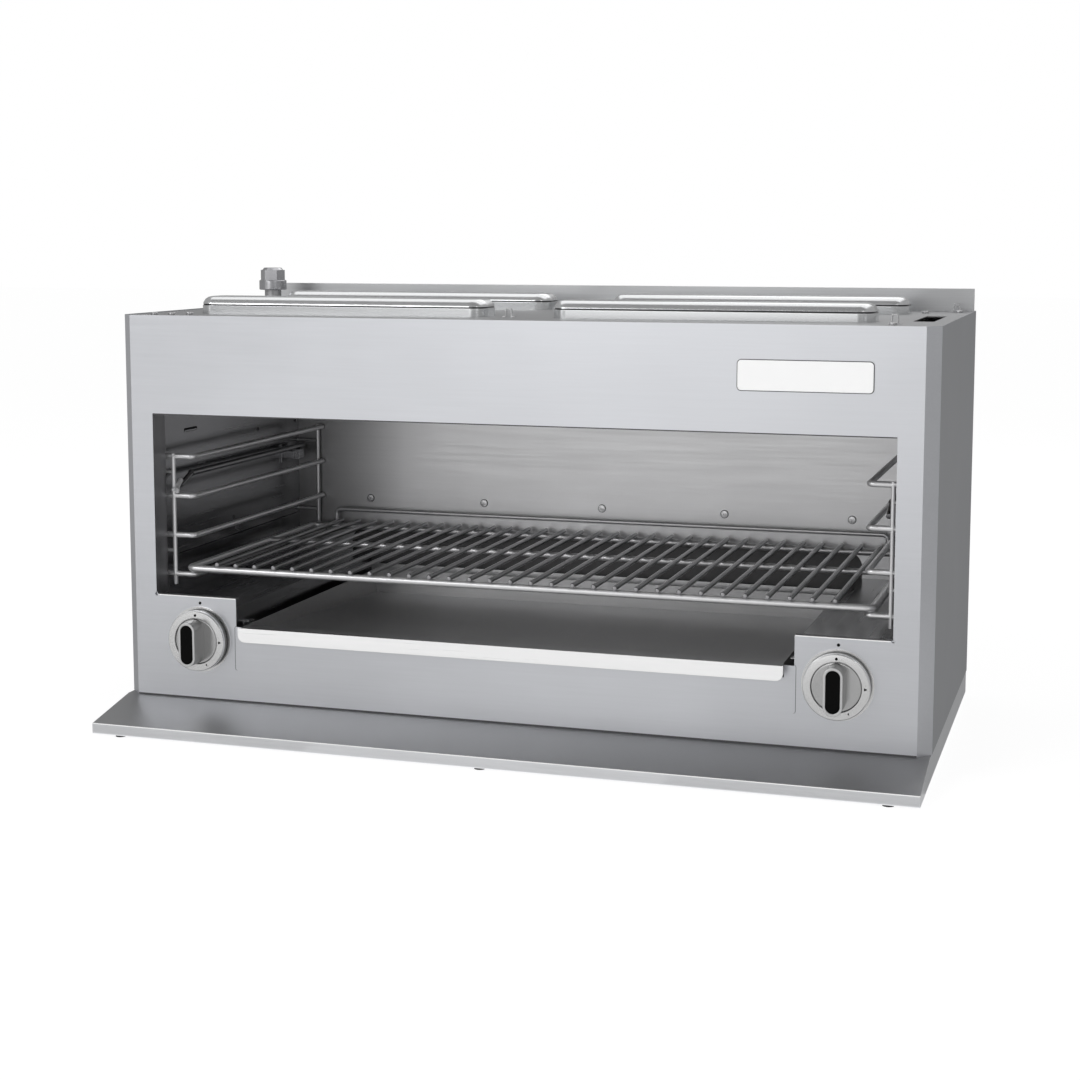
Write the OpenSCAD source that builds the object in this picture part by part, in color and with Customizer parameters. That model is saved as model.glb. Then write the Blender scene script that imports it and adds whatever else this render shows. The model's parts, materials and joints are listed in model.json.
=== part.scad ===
// Gas-fired cheese melter: an open-fronted cabinet with infrared burners in its top, a wire
// rack on one of four levels of runners, a drip tray, and a control box at each side.
// X is to the right, Y to the back and Z up. The feet stand on Z = 0, and the origin is at
// the bottom centre of the whole appliance. Depths marked "behind the face" are counted
// from the front face of the cabinet, and heights marked "above the face" from its lower edge.

/* [Cabinet] */
// Width of the cabinet
body_w = 914.4; // [890:0.1:1000]
// Height of the front face
body_h = 436; // [430:1:480]
// Depth of the cabinet, without the apron
body_d = 406.4; // [396:0.1:450]
// Depth of the 45 degree fold at each upright front corner
corner_fold = 14; // [8:1:20]
// Thickness of the front panel's sheet
face_t = 1.5; // [1:0.1:2]
// Thickness of every other sheet
sheet_t = 1.2; // [0.8:0.1:1.5]
// Depth of the top panel below the upper edge of the face
top_drop = 1; // [0.5:0.1:3]
// Height of the back panel's flange above the face
flange_rise = 26; // [10:1:60]
// Inset of that flange at each end
flange_inset = 2.2; // [0:0.1:20]
// Width of the folded returns of the panels
return_w = 12; // [6:1:14]
// Length of the tabs that join the front panel to the side panels
tab_l = 20; // [10:1:30]
// Width of the air vent in the top panel
vent_w = 22; // [10:1:24]
// Length of the air vent
vent_l = 137; // [80:1:150]
// Distance of the air vent from the cabinet's right side
vent_inset = 20; // [15:1:30]
// How far the air vent starts in front of the front burners' middle
vent_ahead = 3; // [0:1:40]

/* [Base] */
// Depth of the sloping apron in front of the face
apron_d = 81; // [60:1:120]
// Height of the base under the face
base_h = 28; // [24:1:40]
// Height of the apron's front lip
lip_h = 12; // [8:1:18]
// Inset of the base from the cabinet's sides
base_inset = 0.7; // [0:0.1:5]
// Thickness of the bottom plate
plate_t = 2; // [1.5:0.1:4]
// Diameter of a foot pad
foot_d = 12; // [8:1:20]
// Height of a foot pad
foot_h = 2; // [1:0.5:6]
// Distance of the outer foot pads from the base's ends
foot_inset = 32; // [15:1:60]
// Diameter of the four leg holes in the bottom plate
leg_hole_d = 10.6; // [6:0.1:14]
// Distance of the leg holes from the plate's ends
leg_inset_x = 30; // [20:1:80]
// Distance of the leg holes from the cabinet's face and back
leg_inset_y = 40; // [25:1:80]

/* [Opening] */
// Width of the face beside the opening
jamb_w = 40.2; // [30:0.1:60]
// Height of the face above the opening
header_h = 112; // [104:1:120]
// Height of the control shoulders above the face
shoulder_h = 118; // [110:1:130]
// Width of a control shoulder
shoulder_w = 100; // [90:1:120]
// Height of the lower cut-out's edge above the face
cutout_h = 73; // [66:1:80]
// Depth of the opening's upright returns
jamb_return = 28; // [10:1:29]
// Depth of the fold along a shoulder's top
shoulder_return = 8; // [4:1:12]
// Diameter of the relief cuts at the opening's corners
relief_d = 4; // [2:0.5:6]

/* [Liners] */
// Setback of the side liners from the opening's edge
liner_setback = 3; // [2:0.5:6]
// Gap between the rear liner and the cabinet's back
flue_d = 12.4; // [11:0.1:30]
// Height of the burner deck above the opening's top
deck_rise = 8; // [2:1:14]
// Drop of the control boxes below the shoulders
box_drop = 9.5; // [4:0.5:20]
// Length of the window in the rear liner
window_w = 675; // [300:1:700]
// Height of that window
window_h = 48; // [20:1:60]
// Height of the window's centre above the face
window_z = 117; // [105:1:125]
// Radius of the window's corners
window_r = 20; // [6:1:22]
// Offset of the window to the left
window_shift = 7; // [0:1:20]

/* [Burners] */
// Margin between the left side and the left burners
burner_left = 54; // [52:1:80]
// Margin between the right burners and the right side
burner_right = 77.4; // [77:0.1:90]
// Gap between the left and the right burners
burner_gap = 77; // [76:1:100]
// Setback of the front burners behind the face
burner_front = 78; // [76:1:90]
// Depth of a burner housing
burner_d = 100; // [92:1:120]
// Distance of the rear burners from the cabinet's back
burner_rear = 20.4; // [18:0.1:30]
// Shift of the rear burners to the right
burner_shift = 10; // [0:1:12]
// Radius of a burner housing's upright corners
burner_corner_r = 15; // [10:1:20]
// Depth of the ridge on a housing, which shows above the top panel
ridge_d = 54; // [40:1:60]
// How far a ridge sits in front of its housing's middle
ridge_ahead = 15; // [0:1:18]
// Height of a ridge above the top panel
burner_rise = 19.5; // [14:0.5:40]
// Radius of a ridge's upright corners
ridge_corner_r = 18; // [14:1:19]
// Radius of a ridge's top edge
ridge_edge_r = 11; // [4:0.5:12]
// Thickness of a ceramic tile
tile_t = 13; // [8:1:20]
// Number of tiles in a burner
tile_count = 5; // [3:1:8]
// Gap between the tiles
tile_gap = 0.6; // [0.3:0.1:2]
// Margin between the tiles and the housing's wall
tile_margin = 5; // [5:0.5:8]
// Ledge of the deck under the tiles
tile_ledge = 5; // [3:0.5:10]
// Diameter of a mixing tube
mixer_d = 34; // [24:1:44]
// Length of a mixing tube inside the housing
mixer_in = 190; // [100:5:260]
// Length of a mixing tube outside the housing
mixer_out = 18; // [8:1:20]
// Height of the mixing tubes above the deck
mixer_rise = 52; // [40:1:60]

/* [Gas] */
// Diameter of the supply pipe
pipe_d = 21.3; // [17:0.1:24]
// Bore of the supply pipe
pipe_bore = 15.8; // [10:0.1:16]
// Distance of the supply pipe's axis from the cabinet's side
pipe_inset = 24.2; // [20:0.1:25]
// Distance of the riser's axis from the cabinet's back
riser_back = 56.4; // [41.4:0.1:86.4]
// Height of the riser above the face's upper edge
riser_rise = 18.5; // [12:0.5:60]
// Diameter of the inlet coupling
coupling_d = 35; // [29:0.5:38]
// Height of the inlet coupling
coupling_h = 12.5; // [10:0.5:30]
// Size of the inlet plug across its corners
plug_d = 31.5; // [25:0.5:36]
// Height of the inlet plug's head
plug_h = 16; // [8:0.5:24]
// Outer diameter of the pipe elbows
elbow_d = 29; // [27:0.5:31]
// Depth of the pipe's seat in an elbow
elbow_seat = 12; // [8:1:12]
// Length of an elbow from its centre to its mouth
elbow_l = 24; // [20:1:30]
// Height of the cross manifold above the face
manifold_z = 34; // [30:1:38]
// Depth of the cross manifold behind the face
manifold_y = 42; // [38:1:46]
// Length of the cross manifold past the right knob's axis
manifold_over = 40; // [26:1:45]
// Diameter of a feed tube
feed_d = 9.5; // [6:0.1:11]
// Diameter of an orifice manifold
orifice_pipe_d = 13.7; // [12:0.1:17]
// Distance of an orifice manifold from its mixing tubes' housing
orifice_offset = 58.5; // [54:0.5:58.5]
// Length of an orifice manifold past the rear burner's middle
orifice_tail = 20; // [14:1:30]
// Diameter of an orifice spud
spud_d = 7; // [5:0.5:9]
// Size of a spud's hexagon across its corners
spud_hex = 12; // [10:0.5:13]
// Length of an orifice spud
spud_l = 20; // [10:1:22]
// Diameter of a gas valve's body
valve_d = 26; // [20:1:30]
// Length of a gas valve's body
valve_l = 52; // [50:1:70]
// Diameter of a pilot tube
pilot_d = 7; // [4:0.5:8]
// Height of a pilot tube above the face
pilot_z = 250; // [238:1:262]
// Gap between a pilot tube's axis and its liner
pilot_gap = 15; // [10:0.5:16]
// Depth of a pilot tube's bent front end
pilot_front = 66; // [50:1:90]
// Gap between a pilot tube and the rear liner
pilot_rear_gap = 19; // [10:1:30]
// Angle of the bend at its front end
pilot_bend = 67; // [45:1:80]
// Length of the bent tip
pilot_tip = 28; // [15:1:35]
// Distance of a pilot burner from the rear liner
pilot_back = 38; // [34:1:60]
// Size of a pilot burner's block
pilot_block = 13; // [10:1:16]

/* [Knobs] */
// Distance of a knob's axis from the opening's edge
knob_inset = 55; // [48:1:56]
// Distance of a knob's axis below the shoulder's top
knob_drop = 49; // [42:1:50]
// Diameter of the valve stem
stem_d = 8; // [6:0.5:10]
// Thickness of the grip in front of the stem
stem_cover = 12; // [8:1:20]
// Diameter of the bezel on the face
bezel_d = 75; // [72:1:80]
// Thickness of the bezel
bezel_t = 1.2; // [0.5:0.1:2]
// Diameter of the dial ring
ring_d = 69.4; // [60:0.1:71]
// Inner diameter of the dial ring
ring_bore = 51.6; // [52:0.1:56]
// Distance of the ring's front from the face
ring_front = 13; // [9:0.5:16]
// Gap between the ring and the face
ring_gap = 3; // [2.5:0.1:5]
// Width of the grip
grip_w = 20; // [14:0.5:24]
// Length of the grip
grip_l = 50.5; // [40:0.5:51]
// Distance of the grip's front from the face
grip_front = 34.5; // [24:0.5:45]
// Rim of the grip around its inlay
inlay_rim = 3; // [2:0.1:5]
// Thickness of the inlay
inlay_t = 1; // [0.5:0.1:3]

/* [Rack guides] */
// Diameter of a runner
runner_d = 6.35; // [5:0.05:8]
// Distance between two levels of runners
runner_pitch = 45.6; // [42:0.1:48]
// Height of the lowest runner above the shoulders
runner_rise = 18.2; // [14:0.1:24]
// Reach of a runner's axis from its liner
runner_reach = 34.8; // [34:0.1:38]
// Depth of the runners' front ends behind the face
runner_front = 34; // [33:0.5:40]
// Gap between the runners' rear ends and the rear liner
runner_rear_gap = 2; // [1:0.1:5]
// Bend radius of a runner
runner_bend = 6; // [5:0.5:9]
// Diameter of an upright
upright_d = 5; // [4:0.1:6]
// Reach of a front upright from its liner
front_upright_reach = 10; // [6:0.5:14]
// Length of a front upright below the lowest runner
upright_foot = 12; // [6:1:14]
// Length of the uprights above the highest runner
upright_head = 3; // [2.5:0.5:8]
// Height of the pegs over a runner, as a share of the distance between two levels
peg_share = 0.6; // [0.4:0.05:0.7]

/* [Rack] */
// Diameter of the rack's frame rod
frame_rod_d = 7.9; // [6:0.1:9]
// Diameter of the rack's cross wires
wire_d = 5.6; // [4:0.1:7]
// Distance between two wires
wire_pitch = 23.58; // [18:0.01:30]
// Number of wires
wire_count = 31; // [21:2:31]
// Gap between the rack's outer edge and a liner
rack_side_gap = 23; // [20:0.5:26]
// Depth of the front rod behind the face
rack_front = 32; // [30:0.5:60]
// Gap between the rear rod and the rear liner
rack_rear_gap = 12; // [12:0.5:20]
// Depth of the middle rod behind the face
rack_mid = 245; // [120:1:300]
// Overhang of the wires over the front rod's axis
wire_overhang = 6.6; // [4:0.1:12]
// Bend radius of the rack's corners
rack_bend = 10; // [6:0.5:20]
// Height of the stop rail over the frame rod's axis
stop_rise = 21.4; // [14:0.1:24]
// Inset of the stop rail's legs from the rack's edge
stop_inset = 35; // [31:0.5:40]

/* [Drip tray] */
// Slope of the tray's floor, in degrees
tray_slope = 2.9; // [1:0.1:3.5]
// Gap between the tray and each control box
tray_side_gap = 11; // [8:0.5:20]
// Gap between the tray's floor and the cut-out's edge
tray_clear = 2; // [1:0.1:5]
// Height of the tray's front above its floor
tray_front_h = 13; // [10:0.5:24]
// Gap between the tray and the front panel
tray_front_gap = 1.5; // [1:0.1:4]
// Gap between the tray and the rear liner
tray_rear_gap = 11; // [6:0.5:30]
// Distance of the tray's lip from the face
tray_lip_out = 15; // [8:0.5:30]
// Height of the tray's lip
tray_lip_h = 16; // [10:0.5:30]
// Overhang of the lip past the tray's sides
tray_lip_over = 2; // [0:0.5:6]
// Radius of the lip's lower corners
tray_lip_r = 8; // [2:0.5:9]
// Reach of the guides' ledges under the tray
guide_ledge = 8; // [4:0.5:20]

/* [Nameplate and screws] */
// Length of the blank nameplate
plate_w = 138; // [80:1:200]
// Height of the nameplate
plate_h = 31; // [20:1:60]
// Thickness of the nameplate
plate_depth = 1.5; // [0.5:0.1:4]
// Radius of the nameplate's corners
plate_r = 4; // [1:0.5:8]
// Distance of the nameplate's centre from the cabinet's right side
plate_from_side = 134; // [110:1:300]
// Distance of the nameplate's centre below the face's top
plate_from_top = 52; // [30:1:80]
// Diameter of a screw's head
screw_head_d = 8.5; // [6:0.1:12]
// Height of a screw's head
screw_head_h = 2.6; // [1.5:0.1:4]
// Diameter of a screw's shank
screw_d = 4; // [3:0.1:5]
// Length of a screw's shank
screw_l = 8; // [5:0.5:10]
// Number of screws in the rear liner
liner_screws = 5; // [3:1:5]
// Distance between the rear liner's screws
liner_screw_pitch = 158.5; // [100:0.5:170]
// Height of those screws above the face
liner_screw_z = 180; // [165:1:250]

/* [Hidden] */
$fn = 48;

// Clearances
contact_gap = 0.05;  // between curved pieces that touch within one body
sliding_gap = 0.3;   // between pieces that slide past each other
stem_gap = 0.05;     // radial, around the valve stem
pass_gap = 1;        // around a pipe that passes through a sheet
window_gap = 0.5;    // around a burner's ridge in the top panel
end_gap = 1;         // between the stem's end and the bottom of its bore
eps = 1;             // how far a cut runs past the surface it opens

// Main planes
front_y = (apron_d - body_d) / 2;
back_y = front_y + body_d;
apron_y = front_y - apron_d;
face_z = foot_h + base_h;
face_top_z = face_z + body_h;
side_x = body_w / 2;
base_x = side_x - base_inset;

// A depth behind the face and a height above its lower edge, in the part's frame
function behind(depth) = front_y + depth;
function above(height) = face_z + height;

// Opening and liners
opening_x = side_x - jamb_w;
opening_top = body_h - header_h;
shoulder_x = opening_x - shoulder_w;
liner_x = opening_x + liner_setback;
liner_depth = body_d - flue_d;
box_h = shoulder_h - box_drop;
deck_z = opening_top + deck_rise;
deck_top = deck_z + sheet_t;
top_surface = body_h - top_drop;
top_under = top_surface - sheet_t;

// Burners
burner_w = (body_w - burner_left - burner_gap - burner_right) / 2;
front_burner_x = [-side_x + burner_left + burner_w / 2, side_x - burner_right - burner_w / 2];
front_burner_y = burner_front + burner_d / 2;
rear_burner_y = body_d - burner_rear - burner_d / 2;
burner_h = top_surface + burner_rise - deck_top;
housing_h = top_under - contact_gap - deck_top;
housing_edge_r = 4;
tile_field_w = burner_w - 2 * sheet_t - 2 * tile_margin;
tile_field_d = burner_d - 2 * sheet_t - 2 * tile_margin;
mixer_z = deck_top + mixer_rise;

// Gas train
pipe_x = -side_x + pipe_inset;
riser_y = body_d - riser_back;
riser_top = body_h + riser_rise;
coupling_seat = coupling_h / 2;
knob_x = opening_x - knob_inset;
knob_z = shoulder_h - knob_drop;
stem_tip = grip_front - stem_cover;
bore_l = valve_l / 2;
manifold_end = knob_x + manifold_over;
feed_y = face_t + valve_l + feed_d;
feed_x = front_burner_x[1] + burner_w / 2 + orifice_offset;

// Rack guides and rack
runner_x = liner_x - runner_reach;
runner_z = [for (level = [0:3]) shoulder_h + runner_rise + level * runner_pitch];
runner_rear = liner_depth - runner_rear_gap;
weld = 0.7;  // how far an upright sinks into the runners it is welded to
rear_upright_x = runner_x + runner_d / 2 + upright_d / 2 - weld;
rear_upright_y = runner_rear - upright_d / 2 - 0.5;
rack_x = liner_x - rack_side_gap - frame_rod_d / 2;
rack_z = runner_z[0] + runner_d / 2 + sliding_gap + frame_rod_d / 2;
rack_rear = liner_depth - rack_rear_gap - frame_rod_d / 2;
wire_z = rack_z + frame_rod_d / 2 + wire_d / 2 + contact_gap;

// Drip tray
tray_x = shoulder_x - tray_side_gap;
tray_y = face_t + tray_front_gap;
tray_z = cutout_h + tray_clear;
tray_l = liner_depth - tray_rear_gap - tray_y;

steel = "silver";
dark_steel = "dimgray";
iron = "gray";
ceramic = "linen";

// ---- helpers ----

// A box between two opposite corners
module slab(low, high) {
    translate(low) cube(high - low);
}

// Children as they are on the right, and mirrored on the left
module on_side(side) {
    if (side > 0) children();
    else mirror([1, 0, 0]) children();
}

// Round rods along each axis, from a start point
module rod_x(from, length, d) {
    translate(from) rotate([0, 90, 0]) cylinder(d = d, h = length);
}

module rod_y(from, length, d) {
    translate(from) rotate([-90, 0, 0]) cylinder(d = d, h = length);
}

module rod_z(from, length, d) {
    translate(from) cylinder(d = d, h = length);
}

// A flat rounded rectangle, centred
module rounded_rect(w, h, r) {
    square([w, h - 2 * r], center = true);
    square([w - 2 * r, h], center = true);
    for (x = [-1, 1], y = [-1, 1]) translate([x * (w / 2 - r), y * (h / 2 - r)]) circle(r = r);
}

// A stadium: a long slot shape with round ends, upright and centred
module stadium(w, l) {
    square([w, l - w], center = true);
    for (y = [-1, 1]) translate([0, y * (l - w) / 2]) circle(d = w);
}

// A drawn pan, upside down: rounded upright corners and a rounded top edge
module drawn_pan(w, d, h, corner, edge) {
    hull() {
        for (x = [-1, 1], y = [-1, 1]) translate([x * (w / 2 - corner), y * (d / 2 - corner), 0]) {
            cylinder(r = corner, h = h - edge, $fn = 32);
            translate([0, 0, h - edge]) rotate_extrude($fn = 32)
                translate([corner - edge, 0]) intersection() {
                    circle(r = edge, $fn = 16);
                    square(edge);
                }
        }
    }
}

// Plan of the room between the front panel and the back panel
module cabinet_plan() {
    fold_in = face_t * (sqrt(2) - 1);
    x = side_x - sheet_t;
    corner_x = side_x - corner_fold - fold_in;
    corner_y = behind(corner_fold + face_t * sqrt(2) - sheet_t);
    rear = back_y - sheet_t;
    front = behind(face_t);
    polygon([
        [-x, rear], [-x, corner_y], [-corner_x, front],
        [corner_x, front], [x, corner_y], [x, rear]
    ]);
}

// A pan-head screw whose head sits on Z = 0, pointing up, with its shank below
module screw() {
    cylinder(d = screw_head_d, h = screw_head_h);
    translate([0, 0, -screw_l]) cylinder(d = screw_d, h = screw_l + eps / 2);
}

// ---- base ----

// Folded base pan: lip, sloping apron and flat top, with closed ends and no bottom
module base_pan() {
    color(steel) difference() {
        base_profile(base_x, 0, foot_h);
        base_profile(base_x - face_t, face_t, foot_h - eps);
    }
}

// The base's side outline, drawn in by an inset and extruded across the appliance
module base_profile(half_w, inset, bottom) {
    slope = (base_h - lip_h) / apron_d;
    lip_top = foot_h + lip_h - inset * (1 - slope);
    translate([-half_w, 0, 0]) rotate([90, 0, 90]) linear_extrude(2 * half_w) polygon([
        [apron_y + inset, bottom],
        [back_y - inset, bottom],
        [back_y - inset, face_z - inset],
        [front_y, face_z - inset],
        [apron_y + inset, lip_top]
    ]);
}

module base_plate() {
    gap = face_t + contact_gap;
    low = [-base_x + gap, apron_y + gap, foot_h];
    high = [base_x - gap, back_y - gap, foot_h + plate_t];
    color(steel) difference() {
        slab(low, high);
        for (x = [-1, 1], y = [behind(leg_inset_y), back_y - leg_inset_y])
            rod_z([x * (base_x - leg_inset_x), y, foot_h - eps], plate_t + 2 * eps, leg_hole_d);
    }
}

module base_feet() {
    inset_y = foot_d / 2 + face_t + contact_gap;
    color("dimgray")
        for (x = [-base_x + foot_inset, 0, base_x - foot_inset], y = [apron_y + inset_y, back_y - inset_y])
            rod_z([x, y, 0], foot_h, foot_d);
}

// ---- cabinet ----

module front_panel() {
    chamfer_end = side_x - face_t * sqrt(2);
    fold_in = face_t * (sqrt(2) - 1);
    tab_x = side_x - sheet_t;
    tab_end = behind(corner_fold + tab_l);
    tab_lap = face_t / 3;
    cut_end = behind(face_t) + eps;
    color(steel) difference() {
        union() {
            // Face with its two folded corners
            translate([0, 0, face_z]) linear_extrude(body_h) polygon([
                [-side_x, behind(corner_fold)],
                [-side_x + corner_fold, front_y],
                [side_x - corner_fold, front_y],
                [side_x, behind(corner_fold)],
                [chamfer_end, behind(corner_fold)],
                [side_x - corner_fold - fold_in, behind(face_t)],
                [-side_x + corner_fold + fold_in, behind(face_t)],
                [-chamfer_end, behind(corner_fold)]
            ]);
            // Tabs that lap inside the side panels
            for (side = [-1, 1]) on_side(side) slab(
                [tab_x - face_t, behind(corner_fold - tab_lap), face_z + 2 * return_w],
                [tab_x, tab_end, face_top_z - 2 * return_w]
            );
            // Returns around the opening
            slab(
                [-opening_x - face_t, front_y, above(opening_top)],
                [opening_x + face_t, behind(return_w), above(opening_top) + face_t]
            );
            for (side = [-1, 1]) on_side(side) {
                slab(
                    [opening_x, front_y, above(shoulder_h - face_t)],
                    [opening_x + face_t, behind(jamb_return), above(opening_top) + face_t]
                );
                slab(
                    [shoulder_x, front_y, above(shoulder_h - face_t)],
                    [opening_x, behind(shoulder_return), above(shoulder_h)]
                );
            }
            slab(
                [-shoulder_x, front_y, above(cutout_h - face_t)],
                [shoulder_x, behind(shoulder_return), above(cutout_h)]
            );
        }
        // Opening, lower cut-out, corner reliefs and the holes for the valve stems
        slab([-opening_x, front_y - eps, above(shoulder_h)], [opening_x, cut_end, above(opening_top)]);
        slab([-shoulder_x, front_y - eps, above(cutout_h)], [shoulder_x, cut_end, above(shoulder_h) + eps]);
        for (side = [-1, 1]) on_side(side) {
            for (z = [shoulder_h, opening_top])
                rod_y([opening_x, front_y - eps, above(z)], face_t + 2 * eps, relief_d);
            rod_y([knob_x, front_y - eps, above(knob_z)], face_t + 2 * eps, stem_d + 2 * pass_gap);
        }
    }
}

module side_panel(side) {
    front = behind(corner_fold);
    rear = back_y - sheet_t;
    color(steel) on_side(side) {
        slab([side_x - sheet_t, front, face_z], [side_x, rear, face_top_z]);
        slab([side_x - return_w, front + 2 * return_w, face_z], [side_x, rear, face_z + sheet_t]);
    }
}

module back_panel() {
    flange_x = side_x - flange_inset;
    color(steel) {
        slab([-side_x, back_y - sheet_t, face_z], [side_x, back_y, face_top_z]);
        slab([-flange_x, back_y - sheet_t, face_z], [flange_x, back_y, face_top_z + flange_rise]);
    }
}

// Where the top panel's screws sit: distance from the cabinet's centre, and depth
function top_screws() = [
    [-side_x + 27, 34], [-side_x + 49, 34], [-side_x + 62, 52], [side_x - 52, 40],
    [side_x - 52, body_d - 70], [side_x - 16, body_d - 38], [-burner_gap / 4, body_d - 60]
];

module top_panel() {
    skirt = above(top_surface) - return_w;
    vent_x = side_x - vent_inset - vent_w;
    vent_y = behind(front_burner_y - vent_ahead);
    color(steel) difference() {
        union() {
            translate([0, 0, above(top_under)]) linear_extrude(sheet_t) cabinet_plan();
            for (side = [-1, 1]) on_side(side) slab(
                [side_x - 2 * sheet_t, behind(corner_fold + return_w), skirt],
                [side_x - sheet_t, back_y - sheet_t, above(top_under) + sheet_t]
            );
        }
        for (column = [0, 1], row = [0, 1]) translate([0, 0, above(top_under) - eps])
            at_burner(column, row) translate([0, -ridge_ahead, 0]) linear_extrude(sheet_t + 2 * eps)
                rounded_rect(burner_w + 2 * window_gap, ridge_d + 2 * window_gap, ridge_corner_r);
        // Air vent over the right orifice manifold
        slab(
            [vent_x, vent_y, above(top_under) - eps],
            [vent_x + vent_w, vent_y + vent_l, above(top_surface) + eps]
        );
        rod_z([pipe_x, behind(riser_y), above(top_under) - eps], sheet_t + 2 * eps, pipe_d + 2 * pass_gap);
        for (at = top_screws()) translate([at[0], behind(at[1]), above(top_under)])
            rod_z([0, 0, -eps], sheet_t + 2 * eps, screw_d + 2 * sliding_gap);
    }
}

module top_panel_screws() {
    color(steel) for (at = top_screws()) translate([at[0], behind(at[1]), above(top_surface)]) screw();
}

// ---- liners and control boxes ----

module side_liner(side) {
    color(dark_steel) on_side(side)
        slab(
            [liner_x, behind(face_t), above(box_h)],
            [liner_x + sheet_t, behind(liner_depth), above(deck_z)]
        );
}

module rear_liner() {
    color(steel) difference() {
        slab(
            [-liner_x - sheet_t, behind(liner_depth), face_z],
            [liner_x + sheet_t, behind(liner_depth) + sheet_t, above(deck_z)]
        );
        translate([-window_shift, behind(liner_depth) - eps, above(window_z)])
            rotate([-90, 0, 0]) linear_extrude(sheet_t + 2 * eps) rounded_rect(window_w, window_h, window_r);
        liner_screw_places() rod_y([0, -eps, 0], sheet_t + 2 * eps, screw_d + 2 * sliding_gap);
    }
}

// Children at each screw of the rear liner
module liner_screw_places() {
    first = -(liner_screws - 1) / 2;
    for (i = [0:liner_screws - 1])
        translate([(first + i) * liner_screw_pitch, behind(liner_depth), above(liner_screw_z)]) children();
}

module rear_liner_screws() {
    color(steel) liner_screw_places() rotate([90, 0, 0]) screw();
}

module control_box(side) {
    front = behind(face_t);
    rear = behind(liner_depth);
    color(dark_steel) on_side(side) difference() {
        union() {
            slab([shoulder_x, front, face_z], [shoulder_x + sheet_t, rear, above(box_h)]);
            slab([shoulder_x, front, above(box_h) - sheet_t], [liner_x + sheet_t, rear, above(box_h)]);
            slab([liner_x, front, above(box_h) - return_w], [liner_x + sheet_t, rear, above(box_h)]);
        }
        translate([shoulder_x, behind(manifold_y), above(manifold_z)])
            rod_x([-eps, 0, 0], sheet_t + 2 * eps, pipe_d + 2 * pass_gap);
    }
}

// ---- burners ----

// Children at one burner: column 0 is left, row 0 is in front
module at_burner(column, row) {
    y = row == 0 ? front_burner_y : rear_burner_y;
    translate([front_burner_x[column] + row * burner_shift, behind(y), 0]) children();
}

// Ceiling of the cavity, with a window under each burner
module burner_deck() {
    ledge = 2 * tile_ledge;
    color(iron) difference() {
        slab(
            [-liner_x - sheet_t, behind(face_t), above(deck_z)],
            [liner_x + sheet_t, behind(liner_depth) + sheet_t, above(deck_top)]
        );
        for (column = [0, 1], row = [0, 1]) at_burner(column, row)
            translate([0, 0, above(deck_z) + sheet_t / 2])
                cube([tile_field_w - ledge, tile_field_d - ledge, sheet_t + 2 * eps], center = true);
    }
}

// Outside of a housing and its ridge, or with an inset the room in them
module burner_form(inset, low) {
    w = burner_w - 2 * inset;
    translate([0, 0, low]) {
        drawn_pan(
            w, burner_d - 2 * inset, housing_h - inset - low, burner_corner_r - inset, housing_edge_r - inset
        );
        translate([0, -ridge_ahead, 0]) drawn_pan(
            w, ridge_d - 2 * inset, burner_h - inset - low, ridge_corner_r - inset, ridge_edge_r - inset
        );
    }
}

module burner(column, row) {
    color(steel) at_burner(column, row) translate([0, 0, above(deck_top)]) difference() {
        burner_form(0, 0);
        burner_form(sheet_t, -eps);
        rod_x([burner_w / 2 - 2 * sheet_t, 0, mixer_rise], 3 * sheet_t, mixer_d + 2 * contact_gap);
    }
}

module burner_tiles(column, row) {
    tile_w = (tile_field_w - (tile_count - 1) * tile_gap) / tile_count;
    color(ceramic) at_burner(column, row) translate([0, 0, above(deck_top)])
        for (i = [0:tile_count - 1])
            translate([-tile_field_w / 2 + i * (tile_w + tile_gap), -tile_field_d / 2, 0])
                cube([tile_w, tile_field_d, tile_t]);
}

// Mixing tubes of one side's two burners, with a flared mouth at the orifice end
module mixer_tubes(column) {
    length = mixer_in + mixer_out;
    mouth = 3 * sheet_t;
    color(iron) for (row = [0, 1])
        at_burner(column, row) translate([burner_w / 2 - mixer_in, 0, above(mixer_z)]) difference() {
            union() {
                rod_x([0, 0, 0], length, mixer_d);
                rod_x([length - mouth, 0, 0], mouth, mixer_d + 4 * sheet_t);
            }
            rod_x([-eps, 0, 0], length + 2 * eps, mixer_d - 2 * sheet_t);
        }
}

function orifice_x(column) = front_burner_x[column] + burner_w / 2 + orifice_offset;

module orifice_manifold(column) {
    start = feed_y + feed_d;
    length = rear_burner_y + orifice_tail - start;
    color(iron) rod_y([orifice_x(column), behind(start), above(mixer_z)], length, orifice_pipe_d);
}

module orifice_spuds() {
    color("goldenrod") for (column = [0, 1], y = [front_burner_y, rear_burner_y]) {
        start = orifice_x(column) - orifice_pipe_d / 2 - spud_l - contact_gap;
        translate([start, behind(y), above(mixer_z)]) rotate([0, 90, 0]) {
            cylinder(d = spud_d, h = spud_l);
            translate([0, 0, spud_l / 2]) cylinder(d = spud_hex, h = spud_l / 2, $fn = 6);
        }
    }
}

// ---- gas train ----

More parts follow.
